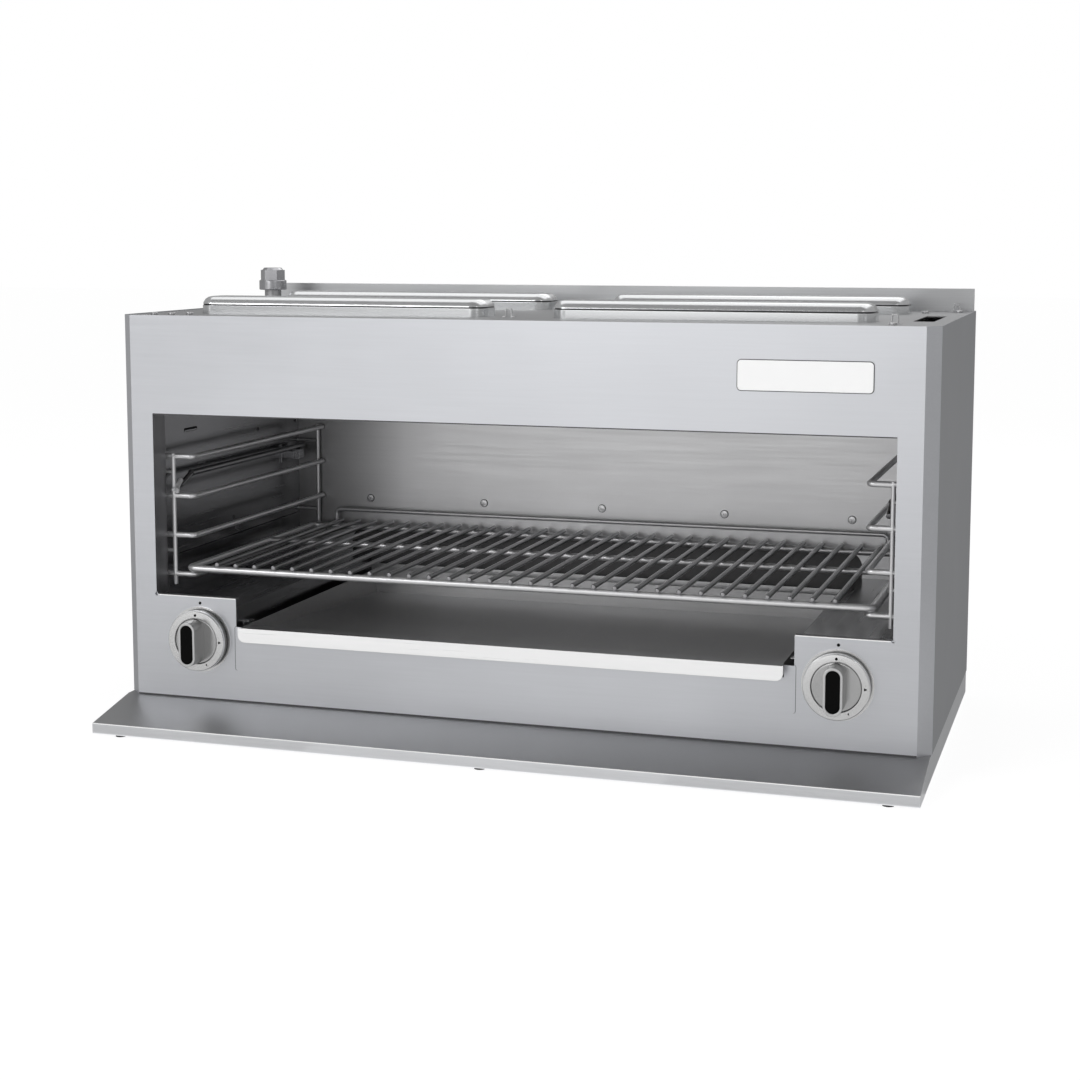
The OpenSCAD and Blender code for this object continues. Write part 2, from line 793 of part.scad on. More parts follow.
// Tube from the valve to the orifice manifold: back, out and up the side. The left one then
// crosses over the top to its manifold. A square elbow sits at each corner.
module feed_tube(side) {
    valve_end = behind(face_t + valve_l);
    back = behind(feed_y);
    x = side * feed_x;
    low = above(knob_z);
    high = above(mixer_z);
    end_x = orifice_x(side < 0 ? 0 : 1);
    corners = [[side * knob_x, back, low], [x, back, low], [x, back, high], [end_x, back, high]];
    corner_count = side < 0 ? 4 : 3;
    color("darkgoldenrod") {
        rod_y([side * knob_x, valve_end, low], back - valve_end, feed_d);
        rod_x([min(side * knob_x, x), back, low], feed_x - knob_x, feed_d);
        rod_z([x, back, low], high - low, feed_d);
        if (side < 0) rod_x([x, back, high], end_x - x, feed_d);
        rod_y([end_x, back, high], feed_d, feed_d);
        for (i = [0:corner_count - 1]) translate(corners[i]) cube(feed_d + 4, center = true);
    }
}

module gas_riser() {
    bottom = above(manifold_z + elbow_l - elbow_seat);
    height = above(riser_top) + coupling_seat - bottom;
    color(iron) difference() {
        rod_z([pipe_x, behind(riser_y), bottom], height, pipe_d);
        rod_z([pipe_x, behind(riser_y), bottom - eps], height + 2 * eps, pipe_bore);
    }
}

module inlet_coupling() {
    color(iron) translate([pipe_x, behind(riser_y), above(riser_top)]) difference() {
        cylinder(d = coupling_d, h = coupling_h);
        translate([0, 0, -eps]) cylinder(d = pipe_d + 2 * contact_gap, h = coupling_h + 2 * eps);
    }
}

// Hexagonal plug with a domed crown and a shank in the coupling
module inlet_plug() {
    crown = 3;
    crown_foot = plug_d * 0.86;
    crown_top = plug_d * 0.7;
    shank = coupling_seat - contact_gap;
    color(iron) translate([pipe_x, behind(riser_y), above(riser_top) + coupling_h]) {
        rotate([0, 0, 15]) cylinder(d = plug_d, h = plug_h - crown, $fn = 6);
        translate([0, 0, plug_h - crown]) cylinder(d1 = crown_foot, d2 = crown_top, h = crown);
        translate([0, 0, -shank]) cylinder(d = pipe_d, h = shank);
    }
}

// Seat and gas way of one arm of an elbow, along Z from its centre
module elbow_way(bore) {
    translate([0, 0, elbow_l - elbow_seat]) cylinder(d = pipe_d + 2 * contact_gap, h = elbow_seat + eps);
    cylinder(d = bore, h = elbow_l);
}

// Elbow with arms along X and Y around a round core
module elbow() {
    core = elbow_d + 1;
    along_x = [0, 90, 0];
    along_y = [-90, 0, 0];
    difference() {
        union() {
            translate([0, 0, -core / 2]) cylinder(d = core, h = core);
            rotate(along_x) cylinder(d = elbow_d, h = elbow_l);
            rotate(along_y) cylinder(d = elbow_d, h = elbow_l);
        }
        rotate(along_x) elbow_way(pipe_bore);
        rotate(along_y) elbow_way(pipe_bore - 1);
    }
}

module pipe_fittings() {
    cap_wall = 5;
    color(iron) {
        translate([pipe_x, behind(riser_y), above(manifold_z)]) mirror([0, 1, 0]) rotate([0, -90, 0]) elbow();
        translate([pipe_x, behind(manifold_y), above(manifold_z)]) elbow();
        // End cap of the cross manifold
        translate([manifold_end - elbow_seat, behind(manifold_y), above(manifold_z)]) difference() {
            rod_x([0, 0, 0], elbow_seat + cap_wall, elbow_d);
            rod_x([-eps, 0, 0], elbow_seat + eps, pipe_d + 2 * contact_gap);
        }
    }
}

module side_feed_pipe() {
    start = manifold_y + elbow_l - elbow_seat;
    length = riser_y - elbow_l + elbow_seat - start;
    color(iron) difference() {
        rod_y([pipe_x, behind(start), above(manifold_z)], length, pipe_d);
        rod_y([pipe_x, behind(start) - eps, above(manifold_z)], length + 2 * eps, pipe_bore);
    }
}

module gas_manifold() {
    start = pipe_x + elbow_l - elbow_seat;
    length = manifold_end - start;
    color(iron) difference() {
        rod_x([start, behind(manifold_y), above(manifold_z)], length, pipe_d);
        rod_x([start - eps, behind(manifold_y), above(manifold_z)], length + 2 * eps, pipe_bore);
    }
}

// Valve behind the face: body, bonnet against the panel, and inlet nipple on the manifold
module gas_valve(side) {
    bonnet = 10;
    bonnet_d = valve_d - 6;
    nipple_d = 12;
    manifold_top = above(manifold_z) + pipe_d / 2 + contact_gap;
    color("goldenrod") on_side(side) difference() {
        union() {
            rod_y([knob_x, behind(face_t), above(knob_z)], bonnet, bonnet_d);
            rod_y([knob_x, behind(face_t + bonnet), above(knob_z)], valve_l - 2 * bonnet, valve_d);
            rod_y([knob_x, behind(face_t + valve_l - bonnet), above(knob_z)], bonnet, nipple_d);
            rod_z([knob_x, behind(manifold_y), manifold_top], above(knob_z) - manifold_top, nipple_d);
        }
        rod_y([knob_x, behind(face_t) - eps, above(knob_z)], bore_l + eps, stem_d + 2 * stem_gap);
    }
}

module valve_stem(side) {
    length = stem_tip + face_t + bore_l - end_gap;
    color(steel) on_side(side) rod_y([knob_x, front_y - stem_tip, above(knob_z)], length, stem_d);
}

// Pilot tube along the liner, with its front end bent down
module pilot_tube(side) {
    front = [liner_x - pilot_gap, behind(pilot_front), above(pilot_z)];
    length = liner_depth - pilot_rear_gap - pilot_front;
    color(iron) on_side(side) {
        rod_y(front, length, pilot_d);
        translate(front) sphere(d = pilot_d + 1);
        translate(front) rotate([180 - pilot_bend, 0, 0]) cylinder(d = pilot_d - 1, h = pilot_tip);
    }
}

// Pilot burner: a block under the tube, with a bracket to the liner
module pilot_burner(side) {
    x = liner_x - pilot_gap;
    y = behind(liner_depth - pilot_back);
    top = above(pilot_z) - pilot_d / 2 - contact_gap;
    half = pilot_block / 2;
    arm_t = 5;
    arm_y = y - half - arm_t;
    pad = 8;
    pad_t = 2;
    color(iron) on_side(side) {
        slab([x - half, y - half, top - pilot_block], [x + half, y + half, top]);
        slab([x, arm_y, top - pilot_block + pad_t], [liner_x, y - half, top - pad_t]);
        slab(
            [liner_x - pad_t, arm_y - pad, top - pilot_block - pad / 2],
            [liner_x, y + half + pad / 2, top + pad]
        );
    }
}

// ---- knobs ----

module knob_bezels() {
    color(steel) for (side = [-1, 1]) on_side(side) difference() {
        rod_y([knob_x, front_y - bezel_t, above(knob_z)], bezel_t, bezel_d);
        rod_y([knob_x, front_y - bezel_t - eps, above(knob_z)], bezel_t + 2 * eps, stem_d + 2 * pass_gap);
    }
}

// Children with Z pointing out of the face along the knob's axis
module at_knob(side) {
    on_side(side) translate([knob_x, front_y, above(knob_z)]) rotate([90, 0, 0]) children();
}

module knob_ring(side) {
    rim = 2;
    color(steel) at_knob(side) difference() {
        union() {
            translate([0, 0, ring_gap]) cylinder(d = ring_d, h = ring_front - rim - ring_gap);
            translate([0, 0, ring_front - rim]) cylinder(d1 = ring_d, d2 = ring_d - 2 * rim, h = rim);
        }
        translate([0, 0, ring_gap - eps]) cylinder(d = ring_bore, h = ring_front + eps);
    }
}

module knob_grip(side) {
    disc_front = ring_front - 1;
    color("lightgray") at_knob(side) difference() {
        union() {
            translate([0, 0, ring_gap]) cylinder(d = ring_bore - 2 * contact_gap, h = disc_front - ring_gap);
            translate([0, 0, ring_gap]) linear_extrude(grip_front - ring_gap) stadium(grip_w, grip_l);
        }
        translate([0, 0, grip_front - inlay_t]) linear_extrude(inlay_t + eps)
            stadium(grip_w - 2 * inlay_rim, grip_l - 2 * inlay_rim);
        translate([0, 0, ring_gap - eps])
            cylinder(d = stem_d + 2 * contact_gap, h = stem_tip - ring_gap + eps);
    }
}

module knob_inlay(side) {
    color("black") at_knob(side) translate([0, 0, grip_front - inlay_t]) linear_extrude(inlay_t)
        stadium(grip_w - 2 * inlay_rim - 2 * contact_gap, grip_l - 2 * inlay_rim - 2 * contact_gap);
}

// ---- rack guides ----

// One runner: a stub from the liner, a bend and the long run to the back
module runner(z) {
    rod_x([runner_x + runner_bend, behind(runner_front), z], runner_reach - runner_bend, runner_d);
    translate([runner_x + runner_bend, behind(runner_front) + runner_bend, z])
        rotate([0, 0, 180]) rotate_extrude(angle = 90) translate([runner_bend, 0]) circle(d = runner_d);
    start = runner_front + runner_bend;
    rod_y([runner_x, behind(start), z], runner_rear - start, runner_d);
}

module rack_guide(side) {
    front_x = liner_x - front_upright_reach;
    front_y_at = behind(runner_front - weld);
    rear_y_at = behind(rear_upright_y);
    bottom = above(runner_z[0]) - upright_foot;
    top = above(runner_z[3]) + upright_head;
    color(steel) on_side(side) {
        for (z = runner_z) runner(above(z));
        rod_z([front_x, front_y_at, bottom], top - bottom, upright_d);
        rod_z([rear_upright_x, rear_y_at, above(runner_z[0])], top - above(runner_z[0]), upright_d);
        for (level = [0, 2]) {
            z = above(runner_z[level]) + runner_pitch * peg_share;
            rod_x([front_x, front_y_at, z], front_upright_reach, upright_d - 1);
            rod_x([rear_upright_x, rear_y_at, z], liner_x - rear_upright_x, upright_d - 1);
        }
    }
}

// ---- rack ----

module rack_frame() {
    front = behind(rack_front);
    rear = behind(rack_rear);
    z = above(rack_z);
    straight = rack_x - rack_bend;
    color(steel) {
        for (y = [front, rear]) rod_x([-straight, y, z], 2 * straight, frame_rod_d);
        rod_x([-rack_x, behind(rack_mid), z], 2 * rack_x, frame_rod_d - 1);
        for (side = [-1, 1]) on_side(side) {
            rod_y([rack_x, front + rack_bend, z], rear - front - 2 * rack_bend, frame_rod_d);
            translate([straight, rear - rack_bend, z])
                rotate_extrude(angle = 90) translate([rack_bend, 0]) circle(d = frame_rod_d);
            translate([straight, front + rack_bend, z]) rotate([0, 0, -90])
                rotate_extrude(angle = 90) translate([rack_bend, 0]) circle(d = frame_rod_d);
        }
    }
}

module rack_wires() {
    first = -(wire_count - 1) / 2;
    start = rack_front - wire_overhang;
    length = rack_rear + wire_overhang - start;
    color(steel) for (i = [0:wire_count - 1])
        rod_y([(first + i) * wire_pitch, behind(start), above(wire_z)], length, wire_d);
}

// Stop rail: a bent wire whose legs stand behind the rear rod
module rack_stop() {
    bend = 7;
    leg_x = liner_x - rack_side_gap - stop_inset;
    y = behind(rack_rear) + frame_rod_d / 2 + wire_d / 2 + contact_gap;
    rail_z = above(rack_z) + stop_rise;
    bottom = above(rack_z) - frame_rod_d / 2;
    color(steel) {
        rod_x([-leg_x + bend, y, rail_z], 2 * (leg_x - bend), wire_d);
        for (side = [-1, 1]) on_side(side) {
            rod_z([leg_x, y, bottom], rail_z - bend - bottom, wire_d);
            translate([leg_x - bend, y, rail_z - bend]) rotate([90, 0, 0])
                rotate_extrude(angle = 90) translate([bend, 0]) circle(d = wire_d);
        }
    }
}

// ---- drip tray ----

// The tray's wedge, drawn in by an inset; its floor falls towards the back
module tray_wedge(half_w, inset, top) {
    front = tray_y + inset;
    rear = tray_y + tray_l - inset;
    fall = tan(tray_slope);
    floor_z = tray_z + inset;
    translate([-half_w, 0, 0]) rotate([90, 0, 90]) linear_extrude(2 * half_w) polygon([
        [behind(front), above(floor_z - (front - tray_y) * fall)],
        [behind(rear), above(floor_z - (rear - tray_y) * fall)],
        [behind(rear), above(top)],
        [behind(front), above(top)]
    ]);
}

module drip_tray() {
    top = tray_z + tray_front_h;
    lip_x = tray_x + tray_lip_over;
    color(steel) {
        difference() {
            tray_wedge(tray_x, 0, top);
            tray_wedge(tray_x - sheet_t, sheet_t, top + eps);
        }
        slab(
            [-tray_x, behind(-tray_lip_out), above(top - sheet_t)],
            [tray_x, behind(tray_y + sheet_t), above(top)]
        );
        // Lip with rounded lower corners
        translate([0, behind(-tray_lip_out) + sheet_t, above(top - tray_lip_h / 2)]) rotate([90, 0, 0])
            linear_extrude(sheet_t) {
                translate([0, tray_lip_r / 2]) square([2 * lip_x, tray_lip_h - tray_lip_r], center = true);
                square([2 * (lip_x - tray_lip_r), tray_lip_h], center = true);
                for (x = [-1, 1]) translate([x * (lip_x - tray_lip_r), -tray_lip_h / 2 + tray_lip_r])
                    circle(r = tray_lip_r);
            }
    }
}

// Sloping ledges on the control boxes, under the tray's edges, each with a front tab
module tray_guides() {
    start = 14;
    length = tray_l - 20;
    web_h = 12;
    tab_top = tray_front_h + 4;
    tab_w = 7;
    color(steel) for (side = [-1, 1]) on_side(side) {
        translate([0, behind(tray_y), above(tray_z) - sliding_gap - sheet_t]) rotate([-tray_slope, 0, 0]) {
            slab([tray_x - guide_ledge, start, 0], [shoulder_x, start + length, sheet_t]);
            slab([shoulder_x - sheet_t, start, 0], [shoulder_x, start + length, web_h]);
            slab([shoulder_x - sheet_t, start, 0], [shoulder_x, 2 * start, tab_top]);
            slab([shoulder_x - tab_w, start, tab_top - sheet_t], [shoulder_x, 2 * start, tab_top]);
        }
    }
}

module nameplate() {
    color("white") translate([side_x - plate_from_side, front_y, above(body_h - plate_from_top)])
        rotate([90, 0, 0]) linear_extrude(plate_depth) rounded_rect(plate_w, plate_h, plate_r);
}

// ---- assembly ----

base_pan();
base_plate();
base_feet();
front_panel();
side_panel(-1);  // left_side_panel
side_panel(1);  // right_side_panel
back_panel();
top_panel();
top_panel_screws();
side_liner(-1);  // left_liner
side_liner(1);  // right_liner
rear_liner();
rear_liner_screws();
control_box(-1);  // left_control_box
control_box(1);  // right_control_box
burner_deck();
burner(0, 0);  // front_left_burner
burner(1, 0);  // front_right_burner
burner(0, 1);  // rear_left_burner
burner(1, 1);  // rear_right_burner
burner_tiles(0, 0);  // front_left_tiles
burner_tiles(1, 0);  // front_right_tiles
burner_tiles(0, 1);  // rear_left_tiles
burner_tiles(1, 1);  // rear_right_tiles
mixer_tubes(0);  // left_mixer_tubes
mixer_tubes(1);  // right_mixer_tubes
orifice_manifold(0);  // left_orifice_manifold
orifice_manifold(1);  // right_orifice_manifold
orifice_spuds();
feed_tube(-1);  // left_feed_tube
feed_tube(1);  // right_feed_tube
gas_riser();
inlet_coupling();
inlet_plug();
pipe_fittings();
side_feed_pipe();
gas_manifold();
gas_valve(-1);  // left_gas_valve
gas_valve(1);  // right_gas_valve
valve_stem(-1);  // left_valve_stem
valve_stem(1);  // right_valve_stem
pilot_tube(-1);  // left_pilot_tube
pilot_tube(1);  // right_pilot_tube
pilot_burner(-1);  // left_pilot_burner
pilot_burner(1);  // right_pilot_burner
knob_bezels();
knob_ring(-1);  // left_knob_ring
knob_ring(1);  // right_knob_ring
knob_grip(-1);  // left_knob_grip
knob_grip(1);  // right_knob_grip
knob_inlay(-1);  // left_knob_inlay
knob_inlay(1);  // right_knob_inlay
rack_guide(-1);  // left_rack_guide
rack_guide(1);  // right_rack_guide
rack_frame();
rack_wires();
rack_stop();
drip_tray();
tray_guides();
nameplate();
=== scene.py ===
# %% [markdown]
# # A gas cheese melter in brushed stainless steel
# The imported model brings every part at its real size, in metres, with X to the right, Y to
# the back and Z up. This lesson gives each part its finish and models again the pieces whose
# edges, ends and markings a plain solid can't show. Nothing is moved or made bigger: a new
# piece is put where the model has it.

import json
import math

import bpy
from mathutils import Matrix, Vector


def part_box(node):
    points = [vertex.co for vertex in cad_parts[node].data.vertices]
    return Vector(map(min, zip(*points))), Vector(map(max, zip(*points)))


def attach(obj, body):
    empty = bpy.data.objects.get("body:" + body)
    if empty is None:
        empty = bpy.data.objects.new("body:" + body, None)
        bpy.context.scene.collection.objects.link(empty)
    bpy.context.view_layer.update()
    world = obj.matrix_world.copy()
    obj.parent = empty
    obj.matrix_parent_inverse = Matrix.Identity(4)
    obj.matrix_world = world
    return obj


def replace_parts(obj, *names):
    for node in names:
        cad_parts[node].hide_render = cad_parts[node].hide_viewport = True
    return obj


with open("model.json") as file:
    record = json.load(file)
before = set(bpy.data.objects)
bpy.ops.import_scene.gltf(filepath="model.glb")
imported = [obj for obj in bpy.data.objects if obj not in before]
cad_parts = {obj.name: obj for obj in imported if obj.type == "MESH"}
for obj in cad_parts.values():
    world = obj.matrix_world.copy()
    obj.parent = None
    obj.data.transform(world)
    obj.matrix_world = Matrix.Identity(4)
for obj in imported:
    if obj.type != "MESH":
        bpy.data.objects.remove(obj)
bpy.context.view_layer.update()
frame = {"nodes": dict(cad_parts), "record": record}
nodes = frame["nodes"]
MM = 0.001

# %% [markdown]
# Most sizes in this lesson are read from the model. The front panel gives the two planes that
# the others are counted from: its front face, and its lower edge, which stands on the base.
# What is alike on the left and on the right is made in a loop, with a sign for each side.

# %% Find the face of the cabinet
SIDES = (("left", -1), ("right", 1))

panel_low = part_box("front_panel")[0]
face_y = panel_low.y
face_bottom = panel_low.z


def on_face(x, height, out=0.0):
    """A point of the face, from millimetres: across, above its lower edge, and out of it."""
    return Vector((x * MM, face_y - out * MM, face_bottom + height * MM))


print("face at y", round(face_y, 4), "from z", round(face_bottom, 4))

# %% [markdown]
# ## The camera
# The picture was taken from in front, a little to the right and above the middle, with a
# long lens. The verticals stay nearly upright, because the lens was shifted instead of
# tilted, so the camera has a small shift too.

# %% Set up the camera
CAMERA_PLACE = (0.64419, -2.05163, 0.55753)
CAMERA_PITCH = 83.38
CAMERA_TURN = 17.66
LENS_MM = 62.842
SENSOR_MM = 36
LENS_SHIFT = -0.0816

bpy.ops.object.select_all(action="DESELECT")
bpy.ops.object.camera_add(
    location=CAMERA_PLACE, rotation=(math.radians(CAMERA_PITCH), 0, math.radians(CAMERA_TURN))
)
camera = bpy.context.object
camera.name = "camera"
camera.data.lens = LENS_MM
camera.data.sensor_width = SENSOR_MM
camera.data.shift_y = LENS_SHIFT
bpy.context.scene.camera = camera
bpy.context.scene.view_settings.view_transform = "Standard"
print("camera with a", LENS_MM, "mm lens")

# %% [markdown]
# ## The room
# Steel has hardly any colour of its own: it shows the room around it. The room is white for
# the eye and for reflections, and lights dull surfaces with a softer grey. One large lamp
# stands in front on the left, a weaker one on the right and a faint one behind.

# %% Light the room
ROOM_LIGHT = 0.62
WHITE = (1, 1, 1, 1)


def seen_or_mirrored(tree):
    """A node output that is 1 for a ray from the eye, from a reflection or through glass."""
    path = tree.nodes.new("ShaderNodeLightPath")
    total = path.outputs["Is Camera Ray"]
    for ray in ("Is Glossy Ray", "Is Transmission Ray"):
        either = tree.nodes.new("ShaderNodeMath")
        either.operation = "MAXIMUM"
        tree.links.new(total, either.inputs[0])
        tree.links.new(path.outputs[ray], either.inputs[1])
        total = either.outputs[0]
    return total


world = bpy.data.worlds.new("room")
world.use_nodes = True
bpy.context.scene.world = world
tree = world.node_tree
light = tree.nodes["Background"]
light.inputs["Strength"].default_value = ROOM_LIGHT
light.inputs["Color"].default_value = WHITE
white = tree.nodes.new("ShaderNodeBackground")
white.inputs["Color"].default_value = WHITE
choose = tree.nodes.new("ShaderNodeMixShader")
tree.links.new(seen_or_mirrored(tree), choose.inputs["Fac"])
tree.links.new(light.outputs[0], choose.inputs[1])
tree.links.new(white.outputs[0], choose.inputs[2])
tree.links.new(choose.outputs[0], tree.nodes["World Output"].inputs["Surface"])
print("room light", ROOM_LIGHT)

# %% Hang the lamps
LAMPS = {
    "key_lamp": ((-1.6, -2.4, 2.2), 1.8, 34),
    "fill_lamp": ((2.2, -1.6, 1.6), 1.4, 12),
    "rear_lamp": ((0.3, 2.2, 2.0), 1.6, 5),
}
LAMP_TARGET = Vector((0, 0, 0.25))

for name, (place, size, watts) in LAMPS.items():
    aim = LAMP_TARGET - Vector(place)
    turn = aim.to_track_quat("-Z", "Y").to_euler()
    bpy.ops.object.light_add(type="AREA", location=place, rotation=turn)
    lamp = bpy.context.object
    lamp.name = name
    lamp.data.size = size
    lamp.data.energy = watts
print(len(LAMPS), "lamps")

# %% [markdown]
# The floor is paper white. For the eye it glows, all but a small share that takes light and
# shadow as paper does, so that only a soft shadow is left under the object.

# %% Lay the floor
FLOOR_WIDTH = 30
FLOOR_DROP = 0.0005
FLOOR_WHITE = 0.82
SHADOW_SHARE = 0.22
FLOOR_GLOW = 1.12

bpy.ops.mesh.primitive_plane_add(size=FLOOR_WIDTH, location=(0, 0, -FLOOR_DROP))
floor = bpy.context.object
floor.name = "floor"
floor_finish = bpy.data.materials.new("floor_white")
floor_finish.use_nodes = True
tree = floor_finish.node_tree
matt = tree.nodes["Principled BSDF"]
matt.inputs["Base Color"].default_value = (FLOOR_WHITE, FLOOR_WHITE, FLOOR_WHITE, 1)
matt.inputs["Roughness"].default_value = 1
glow = tree.nodes.new("ShaderNodeEmission")
glow.inputs["Strength"].default_value = FLOOR_GLOW
share = tree.nodes.new("ShaderNodeMath")
share.operation = "MULTIPLY"
share.inputs[1].default_value = 1 - SHADOW_SHARE
tree.links.new(seen_or_mirrored(tree), share.inputs[0])
choose = tree.nodes.new("ShaderNodeMixShader")
tree.links.new(share.outputs[0], choose.inputs["Fac"])
tree.links.new(matt.outputs[0], choose.inputs[1])
tree.links.new(glow.outputs[0], choose.inputs[2])
tree.links.new(choose.outputs[0], tree.nodes["Material Output"].inputs["Surface"])
floor.data.materials.append(floor_finish)
print("floor", FLOOR_WIDTH, "m wide")

# %% [markdown]
# A polished sheet in a white room looks like white paper. Photographers stand grey cards
# round such an object, so that its sides, its folds and its sloping apron turn darker than
# its front. These cards show only in reflections: no eye sees them and they throw no shadow.

# %% Stand grey cards round it
CARDS = {
    "right_card": ((1.7, 1.2, 1.0), (6.0, 2.6), (90, 0, 90), 0.34, 0.34),
    "left_card": ((-1.7, 1.2, 1.0), (5.0, 2.6), (90, 0, 90), 0.34, 0.34),
    "rear_card": ((0.0, 4.2, 1.4), (9.0, 4.0), (90, 0, 0), 0.27, 0.27),
    "low_right_card": ((1.5, 1.4, 0.004), (2.6, 5.5), (0, 0, 0), 0.30, 0.30),
    "low_left_card": ((-1.5, 1.4, 0.004), (2.6, 5.5), (0, 0, 0), 0.30, 0.30),
    "floor_card": ((0.0, -4.5, 0.003), (14.0, 8.6), (0, 0, 0), 0.61, 0.61),
    "floor_glow_card": ((-1.2, -4.5, 0.004), (5.0, 8.6), (0, 0, 0), 0.61, 1.12),
    "front_card": ((0.0, -8.32, 1.0), (14.0, 2.2), (90, 0, 0), 0.38, 0.38),
    "front_glow_card": ((-1.6, -8.3, 1.0), (5.4, 2.2), (90, 0, 0), 0.38, 2.1),
    "high_front_card": ((0.0, -2.7, 2.1), (7.0, 5.0), (0, 0, 0), 0.24, 0.24),
}


def card_grey(name, edge, middle):
    """A glow that is brightest in the middle of a card and falls to another grey at its edge."""
    material = bpy.data.materials.new(name)
    material.use_nodes = True
    tree = material.node_tree
    tree.nodes.clear()
    place = tree.nodes.new("ShaderNodeTexCoord")
    stretch = tree.nodes.new("ShaderNodeMapping")
    stretch.inputs["Scale"].default_value = (2, 2, 2)
    fall = tree.nodes.new("ShaderNodeTexGradient")
    fall.gradient_type = "SPHERICAL"
    level = tree.nodes.new("ShaderNodeMapRange")
    level.inputs["To Min"].default_value = edge
    level.inputs["To Max"].default_value = middle
    glow = tree.nodes.new("ShaderNodeEmission")
    end = tree.nodes.new("ShaderNodeOutputMaterial")
    tree.links.new(place.outputs["Object"], stretch.inputs["Vector"])
    tree.links.new(stretch.outputs["Vector"], fall.inputs["Vector"])
    tree.links.new(fall.outputs["Fac"], level.inputs["Value"])
    tree.links.new(level.outputs["Result"], glow.inputs["Strength"])
    tree.links.new(glow.outputs[0], end.inputs["Surface"])
    return material


for name, (place, size, angles, edge, middle) in CARDS.items():
    turn = [math.radians(angle) for angle in angles]
    bpy.ops.mesh.primitive_plane_add(size=1, location=place, rotation=turn)
    card = bpy.context.object
    card.name = name
    card.scale = (*size, 1)
    for ray in ("camera", "diffuse", "transmission", "volume_scatter", "shadow"):
        setattr(card, "visible_" + ray, False)
    card.data.materials.append(card_grey(name, edge, middle))
print(len(CARDS), "grey cards")

# %% [markdown]
# ## Finishes
# Every finish is a metal, enamel or ceramic with a grain of its own. The grain is noise
# stretched along the way the sheet was brushed, laid on Object coordinates so that it is the
# same from any side. It drives the colour a little, the roughness more, and a faint bump.

# %% A helper that makes a finish
FINISHES = {}
NOISE_LOW = 0.3
NOISE_HIGH = 0.7
FINE_DETAIL = 3
CLOUD_SCALE = 7
CLOUD_DETAIL = 2
RELIEF_HEIGHT = 0.0004


def grain_place(tree, grain, turned):
    """Coordinates for the grain: stretched along the brushing, or distances from an axis."""
    place = tree.nodes.new("ShaderNodeTexCoord")
    stretch = tree.nodes.new("ShaderNodeMapping")
    stretch.inputs["Scale"].default_value = grain
    tree.links.new(place.outputs["Object"], stretch.inputs["Vector"])
    if turned is None:
        return stretch.outputs["Vector"]
    stretch.inputs["Location"].default_value = (-turned.x, 0, -turned.z)
    stretch.inputs["Scale"].default_value = (1, 0, 1)
    radius = tree.nodes.new("ShaderNodeVectorMath")
    radius.operation = "LENGTH"
    tree.links.new(stretch.outputs["Vector"], radius.inputs[0])
    return radius.outputs["Value"]


def finish(
    name, colour, metal=0.0, rough=0.4, grain=(1, 1, 1), scale=200,
    contrast=0.05, gloss_change=0.05, bump=0.02, cloud=0.04, turned=None, shine=0.5,
):
    """A procedural finish: a base colour varied by a fine grain and by soft clouds."""
    material = bpy.data.materials.new(name)
    material.use_nodes = True
    tree = material.node_tree
    shader = tree.nodes["Principled BSDF"]
    shader.inputs["Metallic"].default_value = metal
    shader.inputs["Specular IOR Level"].default_value = shine
    place = tree.nodes.new("ShaderNodeTexCoord")
    fine = tree.nodes.new("ShaderNodeTexNoise")
    fine.inputs["Scale"].default_value = scale
    fine.inputs["Detail"].default_value = FINE_DETAIL
    tree.links.new(grain_place(tree, grain, turned), fine.inputs["Vector"])
    soft = tree.nodes.new("ShaderNodeTexNoise")
    soft.inputs["Scale"].default_value = CLOUD_SCALE
    soft.inputs["Detail"].default_value = CLOUD_DETAIL
    tree.links.new(place.outputs["Object"], soft.inputs["Vector"])
    colours = []
    for noise, change in ((fine, contrast), (soft, cloud)):
        span = tree.nodes.new("ShaderNodeMapRange")
        span.inputs["From Min"].default_value = NOISE_LOW
        span.inputs["From Max"].default_value = NOISE_HIGH
        span.inputs["To Min"].default_value = 1 - change
        span.inputs["To Max"].default_value = 1 + change
        tree.links.new(noise.outputs["Fac"], span.inputs["Value"])
        colours.append(span.outputs["Result"])
    both = tree.nodes.new("ShaderNodeMath")
    both.operation = "MULTIPLY"
    tree.links.new(colours[0], both.inputs[0])
    tree.links.new(colours[1], both.inputs[1])
    paint = tree.nodes.new("ShaderNodeVectorMath")
    paint.name = "paint"
    paint.operation = "SCALE"
    paint.inputs[0].default_value = colour
    tree.links.new(both.outputs[0], paint.inputs["Scale"])
    tree.links.new(paint.outputs["Vector"], shader.inputs["Base Color"])
    dull = tree.nodes.new("ShaderNodeMapRange")
    dull.inputs["From Min"].default_value = NOISE_LOW
    dull.inputs["From Max"].default_value = NOISE_HIGH
    dull.inputs["To Min"].default_value = rough - gloss_change
    dull.inputs["To Max"].default_value = rough + gloss_change
    tree.links.new(fine.outputs["Fac"], dull.inputs["Value"])
    tree.links.new(dull.outputs["Result"], shader.inputs["Roughness"])
    relief = tree.nodes.new("ShaderNodeBump")
    relief.inputs["Strength"].default_value = bump
    relief.inputs["Distance"].default_value = RELIEF_HEIGHT
    tree.links.new(fine.outputs["Fac"], relief.inputs["Height"])
    tree.links.new(relief.outputs["Normal"], shader.inputs["Normal"])
    FINISHES[name] = material


print("a finish is colour, grain, gloss and relief")
